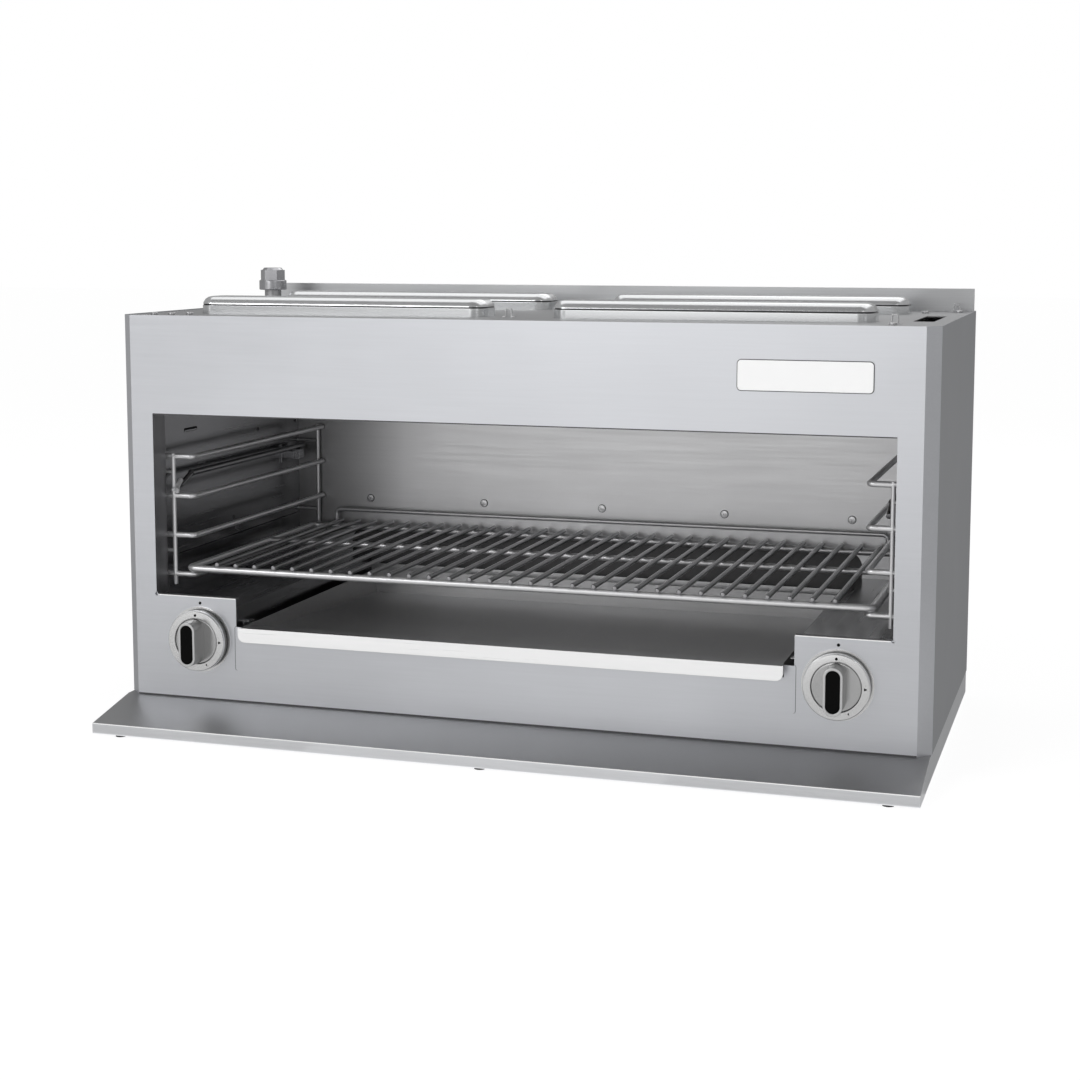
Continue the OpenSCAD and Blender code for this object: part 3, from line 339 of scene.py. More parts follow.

# %% [markdown]
# The sheets are brushed along their length. The outer panels are bright; the darker and
# brighter copies of their steel on some surfaces are painted shade and painted light. The
# cavity's side liners are painted darker, as shade inside the cavity, and the tray's lip gets
# a painted highlight. The dial rings are turned, so their grain runs in circles round the
# knob's own axis.

# %% Mix the finishes
LONG_GRAIN = (0.03, 1, 1)
UPRIGHT_GRAIN = (1, 1, 0.03)
DEEP_GRAIN = (1, 0.03, 1)
EVEN_GRAIN = (1, 1, 1)
PAINTED_BLACK = (0.0, 0.60, EVEN_GRAIN, 900, 0.20, 0.06, 0.02)

finish(
    "brushed_stainless", (0.755, 0.767, 0.80), 1.0, 0.33, LONG_GRAIN, 420, 0.012, 0.03, 0.015, 0.02,
)
finish("flange_stainless", (0.57, 0.575, 0.585), 1.0, 0.34, LONG_GRAIN, 260, 0.05, 0.04, 0.02, 0.04)
# The top, base, apron and side panels take copies of the same steel in other tones: darker as
# painted shade on the top, the apron and the sides, brighter as painted light on the base.
finish("top_painted_shade", (0.36, 0.363, 0.37), 1.0, 0.42, LONG_GRAIN, 420, 0.02, 0.03, 0.01, 0.02)
finish("base_painted_light", (0.85, 0.86, 0.88), 1.0, 0.36, LONG_GRAIN, 420, 0.02, 0.03, 0.02, 0.02)
finish("apron_painted_shade", (0.38, 0.382, 0.39), 1.0, 0.46, LONG_GRAIN, 420, 0.02, 0.03, 0.01, 0.02)
finish("side_painted_shade", (0.46, 0.47, 0.49), 1.0, 0.38, UPRIGHT_GRAIN, 420, 0.02, 0.03, 0.02, 0.02)
# A near-white finish for the faces of folds: a painted highlight.
finish("fold_painted_highlight", (0.99, 0.99, 0.99), 0.1, 0.36, LONG_GRAIN, 420, 0.01, 0.03, 0.0, 0.01)
finish("shaded_return", (0.30, 0.30, 0.31), 1.0, 0.42, UPRIGHT_GRAIN, 420, 0.04, 0.05, 0.02, 0.03)
finish("pressed_steel", (0.88, 0.89, 0.90), 1.0, 0.22, LONG_GRAIN, 300, 0.01, 0.01, 0.0, 0.01)
# The side liners' steel is painted darker: shade inside the cavity.
finish("liner_steel", (0.31, 0.31, 0.32), 1.0, 0.24, DEEP_GRAIN, 300, 0.05, 0.04, 0.01)
finish("rear_liner_steel", (0.84, 0.84, 0.85), 1.0, 0.38, LONG_GRAIN, 300, 0.02, 0.04, 0.02)
finish("aluminised_steel", (0.30, 0.30, 0.31), 1.0, 0.48, EVEN_GRAIN, 260, 0.10, 0.08, 0.08)
finish("plated_wire", (0.78, 0.78, 0.79), 0.8, 0.32, EVEN_GRAIN, 300, 0.01, 0.01, 0.0, 0.02)
finish("shaded_wire", (0.42, 0.42, 0.43), 1.0, 0.30, EVEN_GRAIN, 300, 0.01, 0.01, 0.0, 0.02)
# The flue's sheet is near black: painted shade.
finish("flue_painted_shade", (0.13, 0.13, 0.132), 0.5, 0.50, EVEN_GRAIN, 200, 0.10, 0.06, 0.02)
# Near black for the burner pans' grooves: a painted reflection.
finish("groove_painted_reflection", (0.20, 0.20, 0.205), 1.0, 0.30, LONG_GRAIN, 300, 0.02, 0.02, 0.0)
finish("bright_fasteners", (0.74, 0.74, 0.75), 1.0, 0.26, EVEN_GRAIN, 500, 0.03, 0.04, 0.01)
# The tray's steel is darker, painted shade under the rack, and its lip's finish near white, a
# painted highlight.
finish("tray_steel", (0.58, 0.58, 0.585), 1.0, 0.38, LONG_GRAIN, 300, 0.05, 0.06, 0.03)
finish("tray_lip_painted_highlight", (0.98, 0.98, 0.98), 0.10, 0.30, LONG_GRAIN, 300, 0.01, 0.03, 0.01, 0.01)
finish("grip_metal", (0.40, 0.40, 0.40), 1.0, 0.36, UPRIGHT_GRAIN, 300, 0.03, 0.04, 0.02)
finish("grip_rim", (0.74, 0.74, 0.74), 1.0, 0.34, UPRIGHT_GRAIN, 300, 0.02, 0.03, 0.01)
finish("ring_side", (0.22, 0.22, 0.22), 1.0, 0.34, EVEN_GRAIN, 300, 0.03, 0.03, 0.0)
finish("black_inlay", (0.003, 0.003, 0.003), *PAINTED_BLACK, shine=0.05)
finish("printed_black", (0.006, 0.006, 0.006), *PAINTED_BLACK, shine=0.05)
finish("white_plate", (0.97, 0.97, 0.97), 0.0, 0.30, EVEN_GRAIN, 120, 0.003, 0.02, 0.0, 0.003)
finish("dark_edge", (0.10, 0.10, 0.105), 0.6, 0.45, EVEN_GRAIN, 400, 0.05, 0.05, 0.01)
finish(
    "deep_shadow", (0.012, 0.012, 0.013), 0.0, 0.80, EVEN_GRAIN, 400, 0.10, 0.05, 0.01, shine=0.1,
)
# The ceramic tiles are darker than their pale cream: painted shade in the roof of the cavity.
finish("ceramic", (0.55, 0.52, 0.48), 0.0, 0.85, EVEN_GRAIN, 700, 0.16, 0.08, 0.30)
finish("black_pipe", (0.46, 0.46, 0.47), 0.9, 0.36, EVEN_GRAIN, 400, 0.08, 0.08, 0.05)
finish("cast_fittings", (0.56, 0.56, 0.58), 1.0, 0.24, UPRIGHT_GRAIN, 200, 0.03, 0.03, 0.0)
finish("brass_fittings", (0.62, 0.44, 0.20), 1.0, 0.32, EVEN_GRAIN, 400, 0.06, 0.06, 0.03)
finish("aluminium_tube", (0.74, 0.74, 0.75), 1.0, 0.32, UPRIGHT_GRAIN, 400, 0.04, 0.05, 0.02)
finish("foot_pad", (0.03, 0.03, 0.03), 0.0, 0.80, EVEN_GRAIN, 500, 0.20, 0.06, 0.10)
print(len(FINISHES), "finishes")

# %% [markdown]
# The rear liner's left end is painted darker, as shade on the cavity's dim left side. The
# painted shade fades along X, from the liner's end to a place 160 mm further in.

# %% Paint shade on the rear liner's left end
PAINTED_SHADE_START = -0.43
PAINTED_SHADE_END = -0.27
PAINTED_SHADE_SHARE = 0.30

tree = FINISHES["rear_liner_steel"].node_tree
place = tree.nodes.new("ShaderNodeTexCoord")
apart = tree.nodes.new("ShaderNodeSeparateXYZ")
fade = tree.nodes.new("ShaderNodeMapRange")
fade.inputs["From Min"].default_value = PAINTED_SHADE_START
fade.inputs["From Max"].default_value = PAINTED_SHADE_END
fade.inputs["To Min"].default_value = PAINTED_SHADE_SHARE
end_shade = tree.nodes.new("ShaderNodeMath")
end_shade.operation = "MULTIPLY"
tree.links.new(place.outputs["Object"], apart.inputs["Vector"])
tree.links.new(apart.outputs["X"], fade.inputs["Value"])
tree.links.new(fade.outputs["Result"], end_shade.inputs[0])
tree.links.new(tree.nodes["paint"].inputs["Scale"].links[0].from_socket, end_shade.inputs[1])
tree.links.new(end_shade.outputs[0], tree.nodes["paint"].inputs["Scale"])
print("tint over", round((PAINTED_SHADE_END - PAINTED_SHADE_START) * 1000), "mm")

# %% [markdown]
# The ring and the disc of each knob get a finish of their own, because the noise is read at
# the distance from the knob's axis, and the two knobs stand at different places.

# %% Turn the grain round the knobs
KNOB_ACROSS = 362
KNOB_HEIGHT = 69

for side, sign in SIDES:
    axis = on_face(sign * KNOB_ACROSS, KNOB_HEIGHT)
    finish(
        side + "_satin_ring", (0.88, 0.88, 0.88), 1.0, 0.24, scale=900, contrast=0.015,
        gloss_change=0.02, bump=0.0, cloud=0.01, turned=axis,
    )
    finish(
        side + "_dial_disc", (0.62, 0.62, 0.62), 1.0, 0.20, scale=900, contrast=0.02,
        gloss_change=0.03, bump=0.0, cloud=0.01, turned=axis,
    )
FINISHES["satin_ring"] = FINISHES["left_satin_ring"]
print("rings turned round x", KNOB_ACROSS, "mm")

# %% [markdown]
# The record says which material slot each node belongs to, so the model's own nodes take the
# finish of that name. The two side panels are brushed upright, unlike the front.

# %% Dress the model's own nodes
for part in frame["record"]["subparts"]:
    name = part["node"]
    nodes[name].data.materials.clear()
    nodes[name].data.materials.append(FINISHES[part["material_slot"]])
nodes["rear_liner"].data.materials[0] = FINISHES["rear_liner_steel"]
print("bare nodes:", [n for n, o in nodes.items() if not o.data.materials])

# %% [markdown]
# ## Tools of the workshop
# The model's nodes are exact, but their edges are knife sharp and their curves are flat
# facets. A merged copy of a node can have its edges rounded as a folded sheet's are, and its
# curves shaded smooth. Pieces with markings or rims start from a primitive instead.

# %% Work on one object at a time
BODIES = frame["record"]["behaviour"]["bodies"]
NODE_BODY = {node: body for body, names in BODIES.items() for node in names}
NODE_SLOT = {part["node"]: part["material_slot"] for part in frame["record"]["subparts"]}


def only(obj):
    """Select one object and make it active."""
    bpy.ops.object.select_all(action="DESELECT")
    obj.select_set(True)
    bpy.context.view_layer.objects.active = obj


def edit(obj):
    """Open an object in edit mode with all of its mesh selected."""
    only(obj)
    bpy.ops.object.mode_set(mode="EDIT")
    bpy.ops.mesh.select_all(action="SELECT")


def close_mesh():
    """Turn every face outwards and leave edit mode."""
    bpy.ops.mesh.select_all(action="SELECT")
    bpy.ops.mesh.normals_make_consistent(inside=False)
    bpy.ops.object.mode_set(mode="OBJECT")


def modify(obj, kind, **settings):
    """Add a modifier with its settings and apply it."""
    only(obj)
    modifier = obj.modifiers.new(kind.title(), kind)
    for key, value in settings.items():
        setattr(modifier, key, value)
    bpy.ops.object.modifier_apply(modifier=modifier.name)


def soften(obj, width, segments=2, angle=35):
    """Round every edge sharper than an angle, by a width in millimetres, and shade the curves."""
    sharp = math.radians(angle)
    if width:
        modify(
            obj, "BEVEL", width=width * MM, segments=segments,
            limit_method="ANGLE", angle_limit=sharp,
        )
    only(obj)
    bpy.ops.object.shade_smooth_by_angle(angle=sharp)
    modify(obj, "WEIGHTED_NORMAL", keep_sharp=True)


def settle(obj, name, body, slot, look=None):
    """Fix the object's place in its mesh, and give it a name, a finish and a body to ride on."""
    only(obj)
    bpy.ops.object.transform_apply(location=True, rotation=True, scale=True)
    obj.name = name
    obj.data.name = name
    obj.data.materials.clear()
    obj.data.materials.append(FINISHES[look or slot])
    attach(obj, body)


print("bodies:", sorted(set(NODE_BODY.values())))

# %% A helper that models a node again with softer edges
TOLERANCE = 0.01 * MM
FLAT = math.radians(1)


def remodel(node, name, width=0.0, segments=2, angle=35, look=None, prepare=None):
    """A merged copy of a node's mesh, rounded and shaded, that stands for the node."""
    obj = bpy.data.objects.new(name, nodes[node].data.copy())
    bpy.context.scene.collection.objects.link(obj)
    only(obj)
    bpy.ops.mesh.customdata_custom_splitnormals_clear()
    if prepare:
        prepare(obj)
    edit(obj)
    bpy.ops.mesh.remove_doubles(threshold=TOLERANCE)
    bpy.ops.mesh.dissolve_limited(angle_limit=FLAT)
    bpy.ops.object.mode_set(mode="OBJECT")
    soften(obj, width, segments, angle)
    settle(obj, name, NODE_BODY[node], NODE_SLOT[node], look)
    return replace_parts(obj, node)


print("ready to model", len(NODE_SLOT), "nodes again")

# %% [markdown]
# ## Sheet metal
# The front panel, the base, the shelves over the control boxes and the tray are folded from
# sheet 1 to 1.5 mm thick. A fold is never sharp: its outside is a small curve, made by a bevel
# of a millimetre or less. On the front panel and the base, the faces of that curve which lean
# up and to the front get a painted highlight, a thin bright line.

# %% Fold the front panel
OPENING_CORNER = (417, 324)
RELIEF = 2.03
FRONT_FOLD = 0.5
RETURN_BEHIND = 3 * MM
RETURN_HALF = 0.42
FOLD_WITHIN = 1 * MM
FOLD_UP = 0.2


def close_upper_corners(obj):
    """Bring the points of the relief cuts at the opening's two upper corners to the corner."""
    across, height = OPENING_CORNER
    for side in (-1, 1):
        corner = on_face(side * across, height)
        for vertex in obj.data.vertices:
            if math.hypot(vertex.co.x - corner.x, vertex.co.z - corner.z) < RELIEF * MM:
                vertex.co.x, vertex.co.z = corner.x, corner.z


def looks_up(face, up, forward):
    """Whether a face of a fold leans upwards and to the front by at least these shares."""
    return face.normal.z > up and face.normal.y < -forward


front = remodel("front_panel", "front_panel_sheet", FRONT_FOLD, prepare=close_upper_corners)
front.data.materials.append(FINISHES["shaded_return"])
front.data.materials.append(FINISHES["fold_painted_highlight"])
# The returns behind the face get a painted shade, and the faces of the folds that lean up and to
# the front a painted highlight.
for face in front.data.polygons:
    if face.center.y > face_y + RETURN_BEHIND and abs(face.center.x) < RETURN_HALF:
        face.material_index = 1
    elif looks_up(face, FOLD_UP, FOLD_UP / 2) and face.center.y < face_y + FOLD_WITHIN:
        face.material_index = 2
print("front panel", len(front.data.polygons), "faces")

# %% Fold the other sheets
SHEETS = {
    "base_pan": ("base_pan_sheet", 1.0),
    "left_side_panel": ("left_side_sheet", 0.4),
    "right_side_panel": ("right_side_sheet", 0.4),
    "back_panel": ("back_sheet", 0.4),
    "left_control_box": ("left_box_sheet", 0.4),
    "right_control_box": ("right_box_sheet", 0.4),
    "tray_guides": ("tray_guide_sheet", 0.3),
    "top_panel": ("top_sheet", 0.3),
    "burner_deck": ("deck_sheet", 0.3),
    "rear_liner": ("rear_liner_sheet", 0.3),
    "left_liner": ("left_liner_sheet", 0.3),
    "right_liner": ("right_liner_sheet", 0.3),
    "base_plate": ("base_plate_sheet", 0.3),
}
# The top and the side panels take darker copies of the steel as painted shade, and the base pan a
# brighter copy as painted light.
SHEET_LOOKS = {
    "left_side_panel": "side_painted_shade",
    "right_side_panel": "side_painted_shade",
    "base_pan": "base_painted_light",
    "back_panel": "flange_stainless",
    "top_panel": "top_painted_shade",
    "rear_liner": "rear_liner_steel",
}
LIP_FOLD_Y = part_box("base_pan")[0].y + 2 * MM
APRON_FOOT = face_bottom - 12 * MM
APRON_UP = 0.5


def dress_base(sheet):
    """Give the base pan's apron a painted shade and the fold of its lip a painted highlight."""
    sheet.data.materials.append(FINISHES["apron_painted_shade"])
    sheet.data.materials.append(FINISHES["fold_painted_highlight"])
    for face in sheet.data.polygons:
        if looks_up(face, FOLD_UP, FOLD_UP) and face.center.y < LIP_FOLD_Y:
            face.material_index = 2
        elif face.normal.z > APRON_UP and face.center.z > APRON_FOOT:
            face.material_index = 1


for node, (name, width) in SHEETS.items():
    sheet = remodel(node, name, width, look=SHEET_LOOKS.get(node))
    if node == "base_pan":
        dress_base(sheet)
    print(name, len(sheet.data.polygons), "faces")

# %% [markdown]
# ## Rods and pipes
# The runners, the rack and the gas pipes are round bar and tube. Merging the copy lets the
# facets share their corners, so that the shading runs smoothly round each rod.

# %% Draw the rods
ROUND_NODES = [
    "left_rack_guide", "right_rack_guide", "rack_frame", "rack_stop", "left_pilot_tube",
    "right_pilot_tube", "gas_riser", "side_feed_pipe", "gas_manifold", "pipe_fittings",
    "left_feed_tube", "right_feed_tube", "left_orifice_manifold", "right_orifice_manifold",
    "left_mixer_tubes", "right_mixer_tubes", "left_gas_valve", "right_gas_valve",
    "left_valve_stem", "right_valve_stem", "base_feet", "orifice_spuds",
]
ROD_ANGLE = 40

for node in ROUND_NODES:
    remodel(node, node + "_drawn", angle=ROD_ANGLE)
print(len(ROUND_NODES), "round nodes drawn")

# %% Round the ends of the cross wires
WIRE_END_RADIUS = 1.6

wires = remodel(
    "rack_wires", "rack_wires_cut", WIRE_END_RADIUS, segments=3, angle=60, look="shaded_wire",
)
print("rack wires", len(wires.data.polygons), "faces")

# %% [markdown]
# ## Burner housings
# The four housings on the top are drawn pans of bright steel. Their top edge is a full
# curve, so the smooth shading reaches over it. A shallow groove runs round the wall just
# under that curve: two cuts bound it, and the points of a third between them are moved in.
# The groove's faces are painted dark, a painted reflection of a dark line.

# %% Press the burner housings
GROOVE_DROP = 9.6
GROOVE_HALF = 0.9
GROOVE_DEPTH = 0.8
GROOVE_MARGIN = 0.05


def obj_box(obj):
    """The lowest and highest corners of an object's mesh."""
    low = Vector([min(vertex.co[axis] for vertex in obj.data.vertices) for axis in range(3)])
    high = Vector([max(vertex.co[axis] for vertex in obj.data.vertices) for axis in range(3)])
    return low, high


def press_groove(obj):
    """Cut a shallow groove round the pan's wall, just under the roll of its top edge."""
    low, high = obj_box(obj)
    middle = (low + high) / 2
    height = high.z - GROOVE_DROP * MM
    bpy.ops.object.mode_set(mode="EDIT")
    for cut in (height - GROOVE_HALF * MM, height, height + GROOVE_HALF * MM):
        bpy.ops.mesh.select_all(action="SELECT")
        bpy.ops.mesh.bisect(plane_co=(0, 0, cut), plane_no=(0, 0, 1))
    bpy.ops.object.mode_set(mode="OBJECT")
    for vertex in obj.data.vertices:
        if abs(vertex.co.z - height) < TOLERANCE:
            for axis in (0, 1):
                away = vertex.co[axis] - middle[axis]
                vertex.co[axis] -= math.copysign(min(GROOVE_DEPTH * MM, abs(away)), away)


for corner in ("front_left", "front_right", "rear_left", "rear_right"):
    node = corner + "_burner"
    pan = remodel(node, node + "_pan", look="pressed_steel", prepare=press_groove)
    # The groove's faces get the dark finish: a painted reflection.
    pan.data.materials.append(FINISHES["groove_painted_reflection"])
    groove_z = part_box(node)[1].z - GROOVE_DROP * MM
    for face in pan.data.polygons:
        heights = [pan.data.vertices[index].co.z for index in face.vertices]
        off = max(abs(height - groove_z) for height in heights) / MM
        face.material_index = 1 if off < GROOVE_HALF + GROOVE_MARGIN else 0
    print(pan.name, "groove faces:", sum(face.material_index for face in pan.data.polygons))

# %% [markdown]
# ## Drip tray
# The tray is dull inside, and its steel is darker as painted shade under the rack. Its lip
# at the front gets a painted highlight: the faces of its copy that lie in front of the
# cabinet's face get a near-white finish.

# %% Fold the tray and paint a highlight on its lip
LIP_OUT = 2 * MM
TRAY_FOLD = 0.35

tray = remodel("drip_tray", "drip_tray_sheet", TRAY_FOLD)
tray.data.materials.append(FINISHES["tray_lip_painted_highlight"])
for face in tray.data.polygons:
    face.material_index = 1 if face.center.y < face_y - LIP_OUT else 0
print("tray lip faces:", sum(face.material_index for face in tray.data.polygons))

# %% [markdown]
# ## Turned pieces
# Knob rings, screws and rivets are round. Such a piece is made as on a lathe: half of its
# outline is drawn as a chain of points, and spun once round its axis. The chain starts from a
# plane merged into one point, which is then extruded from place to place.

# %% A helper that turns a piece
WELD = 0.005 * MM


def draw_chain(start, steps):
    """Extrude a point from a start by a list of steps; all of it stays selected in edit mode."""
    bpy.ops.object.select_all(action="DESELECT")
    bpy.ops.mesh.primitive_plane_add(size=MM)
    obj = bpy.context.object
    edit(obj)
    bpy.ops.mesh.merge(type="CENTER")
    bpy.ops.transform.translate(value=start)
    for step in steps:
        bpy.ops.mesh.extrude_vertices_move(TRANSFORM_OT_translate={"value": step})
    bpy.ops.mesh.select_all(action="SELECT")
    return obj


def lathe(outline, steps=64):
    """Spin an outline of (radius, out) points, in millimetres, once round the Z axis."""
    moves = []
    for (radius, out), (next_radius, next_out) in zip(outline, outline[1:]):
        moves.append(((next_radius - radius) * MM, 0, (next_out - out) * MM))
    obj = draw_chain((outline[0][0] * MM, 0, outline[0][1] * MM), moves)
    bpy.ops.mesh.spin(steps=steps, angle=2 * math.pi, center=(0, 0, 0), axis=(0, 0, 1))
    bpy.ops.mesh.select_all(action="SELECT")
    bpy.ops.mesh.remove_doubles(threshold=WELD)
    close_mesh()
    return obj


def face_outwards(obj, point, turn=(90, 0, 0)):
    """Put a piece made along Z at a point, turned to the front or by other angles in degrees."""
    obj.rotation_euler = [math.radians(angle) for angle in turn]
    obj.location = point
    only(obj)
    bpy.ops.object.transform_apply(location=True, rotation=True, scale=True)
    return obj


print("lathe ready")

# %% [markdown]
# ## Knobs
# Each knob has a bright ring with a cone for a front, a grey disc inside it and a flat grip
# with rounded ends. The lower part of the ring's side lies in its own shade, so it is darker.

# %% A helper that turns the ring
RING_OUTLINE = [
    (26.0, 3.2), (33.6, 3.2), (34.6, 4.2), (34.6, 8.4), (34.6, 11.2), (34.3, 11.9),
    (33.7, 12.3), (27.2, 12.9), (26.4, 12.6), (26.0, 11.8), (26.0, 3.2),
]
RING_STEPS = 96
RING_EDGE = 28
DARK_SIDE_OUT = 8.4
DARK_SIDE_RADIUS = 33


def turn_ring(side, axis):
    """The dial ring, with a darker side behind its cone."""
    ring = face_outwards(lathe(RING_OUTLINE, RING_STEPS), axis)
    soften(ring, 0, angle=RING_EDGE)
    settle(ring, side + "_dial_ring", side + "_knob", "satin_ring", side + "_satin_ring")
    ring.data.materials.append(FINISHES["ring_side"])
    for face in ring.data.polygons:
        from_axis = (face.center - axis).xz.length / MM
        out = (face_y - face.center.y) / MM
        dark = out < DARK_SIDE_OUT and from_axis > DARK_SIDE_RADIUS
        face.material_index = 1 if dark else 0
    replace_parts(ring, side + "_knob_ring")


print("ring", RING_OUTLINE[2][0] * 2, "mm across")

# %% A helper that turns the disc
DISC_OUTLINE = [
    (4.2, 3.3), (25.2, 3.3), (25.7, 3.8), (25.7, 10.6), (25.1, 11.3), (23.8, 11.6),
    (4.2, 11.6), (4.2, 3.3),
]
DISC_STEPS = 72


def turn_disc(side, axis):
    """The grey disc inside the ring."""
    disc = face_outwards(lathe(DISC_OUTLINE, DISC_STEPS), axis)
    soften(disc, 0, angle=RING_EDGE)
    settle(disc, side + "_dial_disc", side + "_knob", "grip_metal", side + "_dial_disc")


print("disc", DISC_OUTLINE[2][0] * 2, "mm across")

# %% [markdown]
# The grip is a long slot pulled out along the knob's axis. Its front is inset, which leaves a
# bright rim, and sunk a little, so that a black inlay with a low crown can lie in it.

# %% A helper that models the grip
GRIP_WIDTH = 20
GRIP_LENGTH = 50.4
GRIP_FOOT = 10.5
GRIP_FRONT = 34.4
GRIP_TAPER = 0.995
INLAY_WIDTH = 14.9
INLAY_LENGTH = 44.4
INLAY_DEPTH = 0.9
GRIP_EDGE = 0.7
RIM_DEPTH = 1.2
SLOT_CORNERS = 48


def long_slot(width, length, height):
    """A flat face with two round ends, upright, at a height along Z."""
    bpy.ops.object.select_all(action="DESELECT")
    bpy.ops.mesh.primitive_circle_add(
        vertices=SLOT_CORNERS, radius=width / 2 * MM, fill_type="NGON",
        location=(0, 0, height * MM), rotation=(0, 0, math.pi / SLOT_CORNERS),
    )
    obj = bpy.context.object
    bpy.ops.object.transform_apply(location=True, rotation=True, scale=True)
    stretch = (length - width) / 2 * MM
    for vertex in obj.data.vertices:
        vertex.co.y += stretch if vertex.co.y > 0 else -stretch
    return obj


def pull_face(distance, inset=0.0):
    """In edit mode, inset the chosen face and pull it along Z, both in millimetres."""
    if inset:
        bpy.ops.mesh.inset(thickness=inset * MM)
    if distance:
        bpy.ops.mesh.extrude_region_move(TRANSFORM_OT_translate={"value": (0, 0, distance * MM)})


def model_grip(side, axis):
    """The grip, with a bright rim round the place of its inlay."""
    grip = long_slot(GRIP_WIDTH, GRIP_LENGTH, GRIP_FOOT)
    edit(grip)
    pull_face(GRIP_FRONT - GRIP_FOOT)
    bpy.ops.transform.resize(value=(GRIP_TAPER, GRIP_TAPER, 1))
    rim = (GRIP_WIDTH * GRIP_TAPER - INLAY_WIDTH) / 2
    pull_face(0, rim)
    bpy.ops.transform.resize(value=(1, INLAY_LENGTH / (GRIP_LENGTH * GRIP_TAPER - 2 * rim), 1))
    pull_face(-INLAY_DEPTH)
    close_mesh()
    face_outwards(grip, axis)
    soften(grip, GRIP_EDGE, 3)
    settle(grip, side + "_grip", side + "_knob", "grip_metal")
    grip.data.materials.append(FINISHES["grip_rim"])
    for face in grip.data.polygons:
        face.material_index = 1 if face.center.y < face_y - (GRIP_FRONT - RIM_DEPTH) * MM else 0
    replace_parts(grip, side + "_knob_grip")


print("grip", GRIP_WIDTH, "by", GRIP_LENGTH, "mm")

# %% A helper that models the inlay
INLAY_GAP = 0.3
INLAY_RISE = 0.7
CROWN_RISE = 0.15
CROWN_INSET = 1.2
INLAY_EDGE = 0.15


def model_inlay(side, axis):
    """The black inlay in the grip's front, with a low crown."""
    inlay = long_slot(INLAY_WIDTH - INLAY_GAP, INLAY_LENGTH - INLAY_GAP, GRIP_FRONT - RIM_DEPTH)
    edit(inlay)
    pull_face(INLAY_RISE)
    pull_face(CROWN_RISE, CROWN_INSET)
    close_mesh()
    face_outwards(inlay, axis)
    soften(inlay, INLAY_EDGE, 2)
    settle(inlay, side + "_grip_inlay", side + "_knob", "black_inlay")
    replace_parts(inlay, side + "_knob_inlay")


print("inlay", INLAY_WIDTH, "by", INLAY_LENGTH, "mm")

# %% Model both knobs
for side, sign in SIDES:
    axis = on_face(sign * KNOB_ACROSS, KNOB_HEIGHT)
    turn_ring(side, axis)
    turn_disc(side, axis)
    model_grip(side, axis)
    model_inlay(side, axis)
print("two knobs of four pieces")

# %% [markdown]
# The ring carries three printed marks: a dot for off, an arrow for high and a small mark for
# low. The face has a dot above each knob, and the mark that is turned to it is the setting.

# %% Print the marks
MARK_RADIUS = 29.6
MARK_OUT = 12.95
MARK_DEPTH = 0.6
MARKS = {"off": (24, 3.0, 3.0, 0), "high": (3, 3.8, 4.6, 90), "low": (3, 2.2, 3.4, 153.5)}
DOT = [(0, 0), (1.7, 0), (1.7, 0.12), (0, 0.12)]
DOT_HEIGHT = 110.5
DOT_STEPS = 24


def mark(name, sides, width, length, angle, axis, body):
    """A printed mark on a dial ring, at an angle clockwise from the top."""
    bpy.ops.object.select_all(action="DESELECT")
    bpy.ops.mesh.primitive_circle_add(vertices=sides, radius=0.5, fill_type="NGON")
    shape = bpy.context.object
    shape.scale = (width * MM, length * MM, 1)
    bpy.ops.object.transform_apply(location=False, rotation=False, scale=True)
    shape.location = (0, MARK_RADIUS * MM, (MARK_OUT - MARK_DEPTH) * MM)
    bpy.ops.object.transform_apply(location=True, rotation=False, scale=False)
    edit(shape)
    pull_face(MARK_DEPTH)
    close_mesh()
    shape.rotation_euler = (0, 0, -math.radians(angle))
    bpy.ops.object.transform_apply(location=False, rotation=True, scale=False)
    face_outwards(shape, axis)
    settle(shape, name, body, "black_inlay", "printed_black")


for side, sign in SIDES:
    axis = on_face(sign * KNOB_ACROSS, KNOB_HEIGHT)
    for setting, (sides, width, length, angle) in MARKS.items():
        mark(f"{side}_{setting}_mark", sides, width, length, angle, axis, side + "_knob")
    dot = face_outwards(lathe(DOT, DOT_STEPS), on_face(sign * KNOB_ACROSS, DOT_HEIGHT))
    settle(dot, side + "_face_dot", "cabinet", "black_inlay", "printed_black")
print(len(MARKS), "marks and a dot for each knob")

# %% [markdown]
# ## Seams and small sheet parts
# Where two sheets meet there is a joint, and the tray's bay is a separate sheet behind the
# face. The thin dark line along such a joint, and along the top of the opening, is painted
# shade: a dark strip. Such a strip, like every small bent clip, is a chain of points pulled
# sideways and given a thickness.

# %% A helper that bends a strip
def strip(name, chain, across, thick, look, slot="brushed_stainless", rounded=0.0):
    """A strip through a chain of points, pulled across by a vector; its sizes in millimetres."""
    obj = draw_chain(chain[0], [after - before for before, after in zip(chain, chain[1:])])
    bpy.ops.mesh.extrude_region_move(TRANSFORM_OT_translate={"value": Vector(across) * MM})
    bpy.ops.object.mode_set(mode="OBJECT")
    modify(obj, "SOLIDIFY", thickness=thick * MM, offset=0, use_even_offset=True)
    edit(obj)
    close_mesh()
    soften(obj, rounded)
    settle(obj, name, "cabinet", slot, look)


print("strips ready")

# %% Draw the painted shade along the seams of the face
SEAM_THICK = 0.3
BASE_SEAM = (443, 0, 1.4)
OPENING_TOP = (416.8, 324, 1.2)
BAY_SEAM = [
    (317.6, 86.6), (318.6, 85.8), (319.1, 84.4), (319.1, 37.8), (318.5, 36.4), (317.0, 35.6),
]
BAY_SEAM_WIDTH = 0.5
BAY_SEAM_THICK = 0.2
SHOULDER = [(317.6, 116.9), (414.6, 116.9)]
SHOULDER_WIDTH = 1.1
SHOULDER_THICK = 0.25

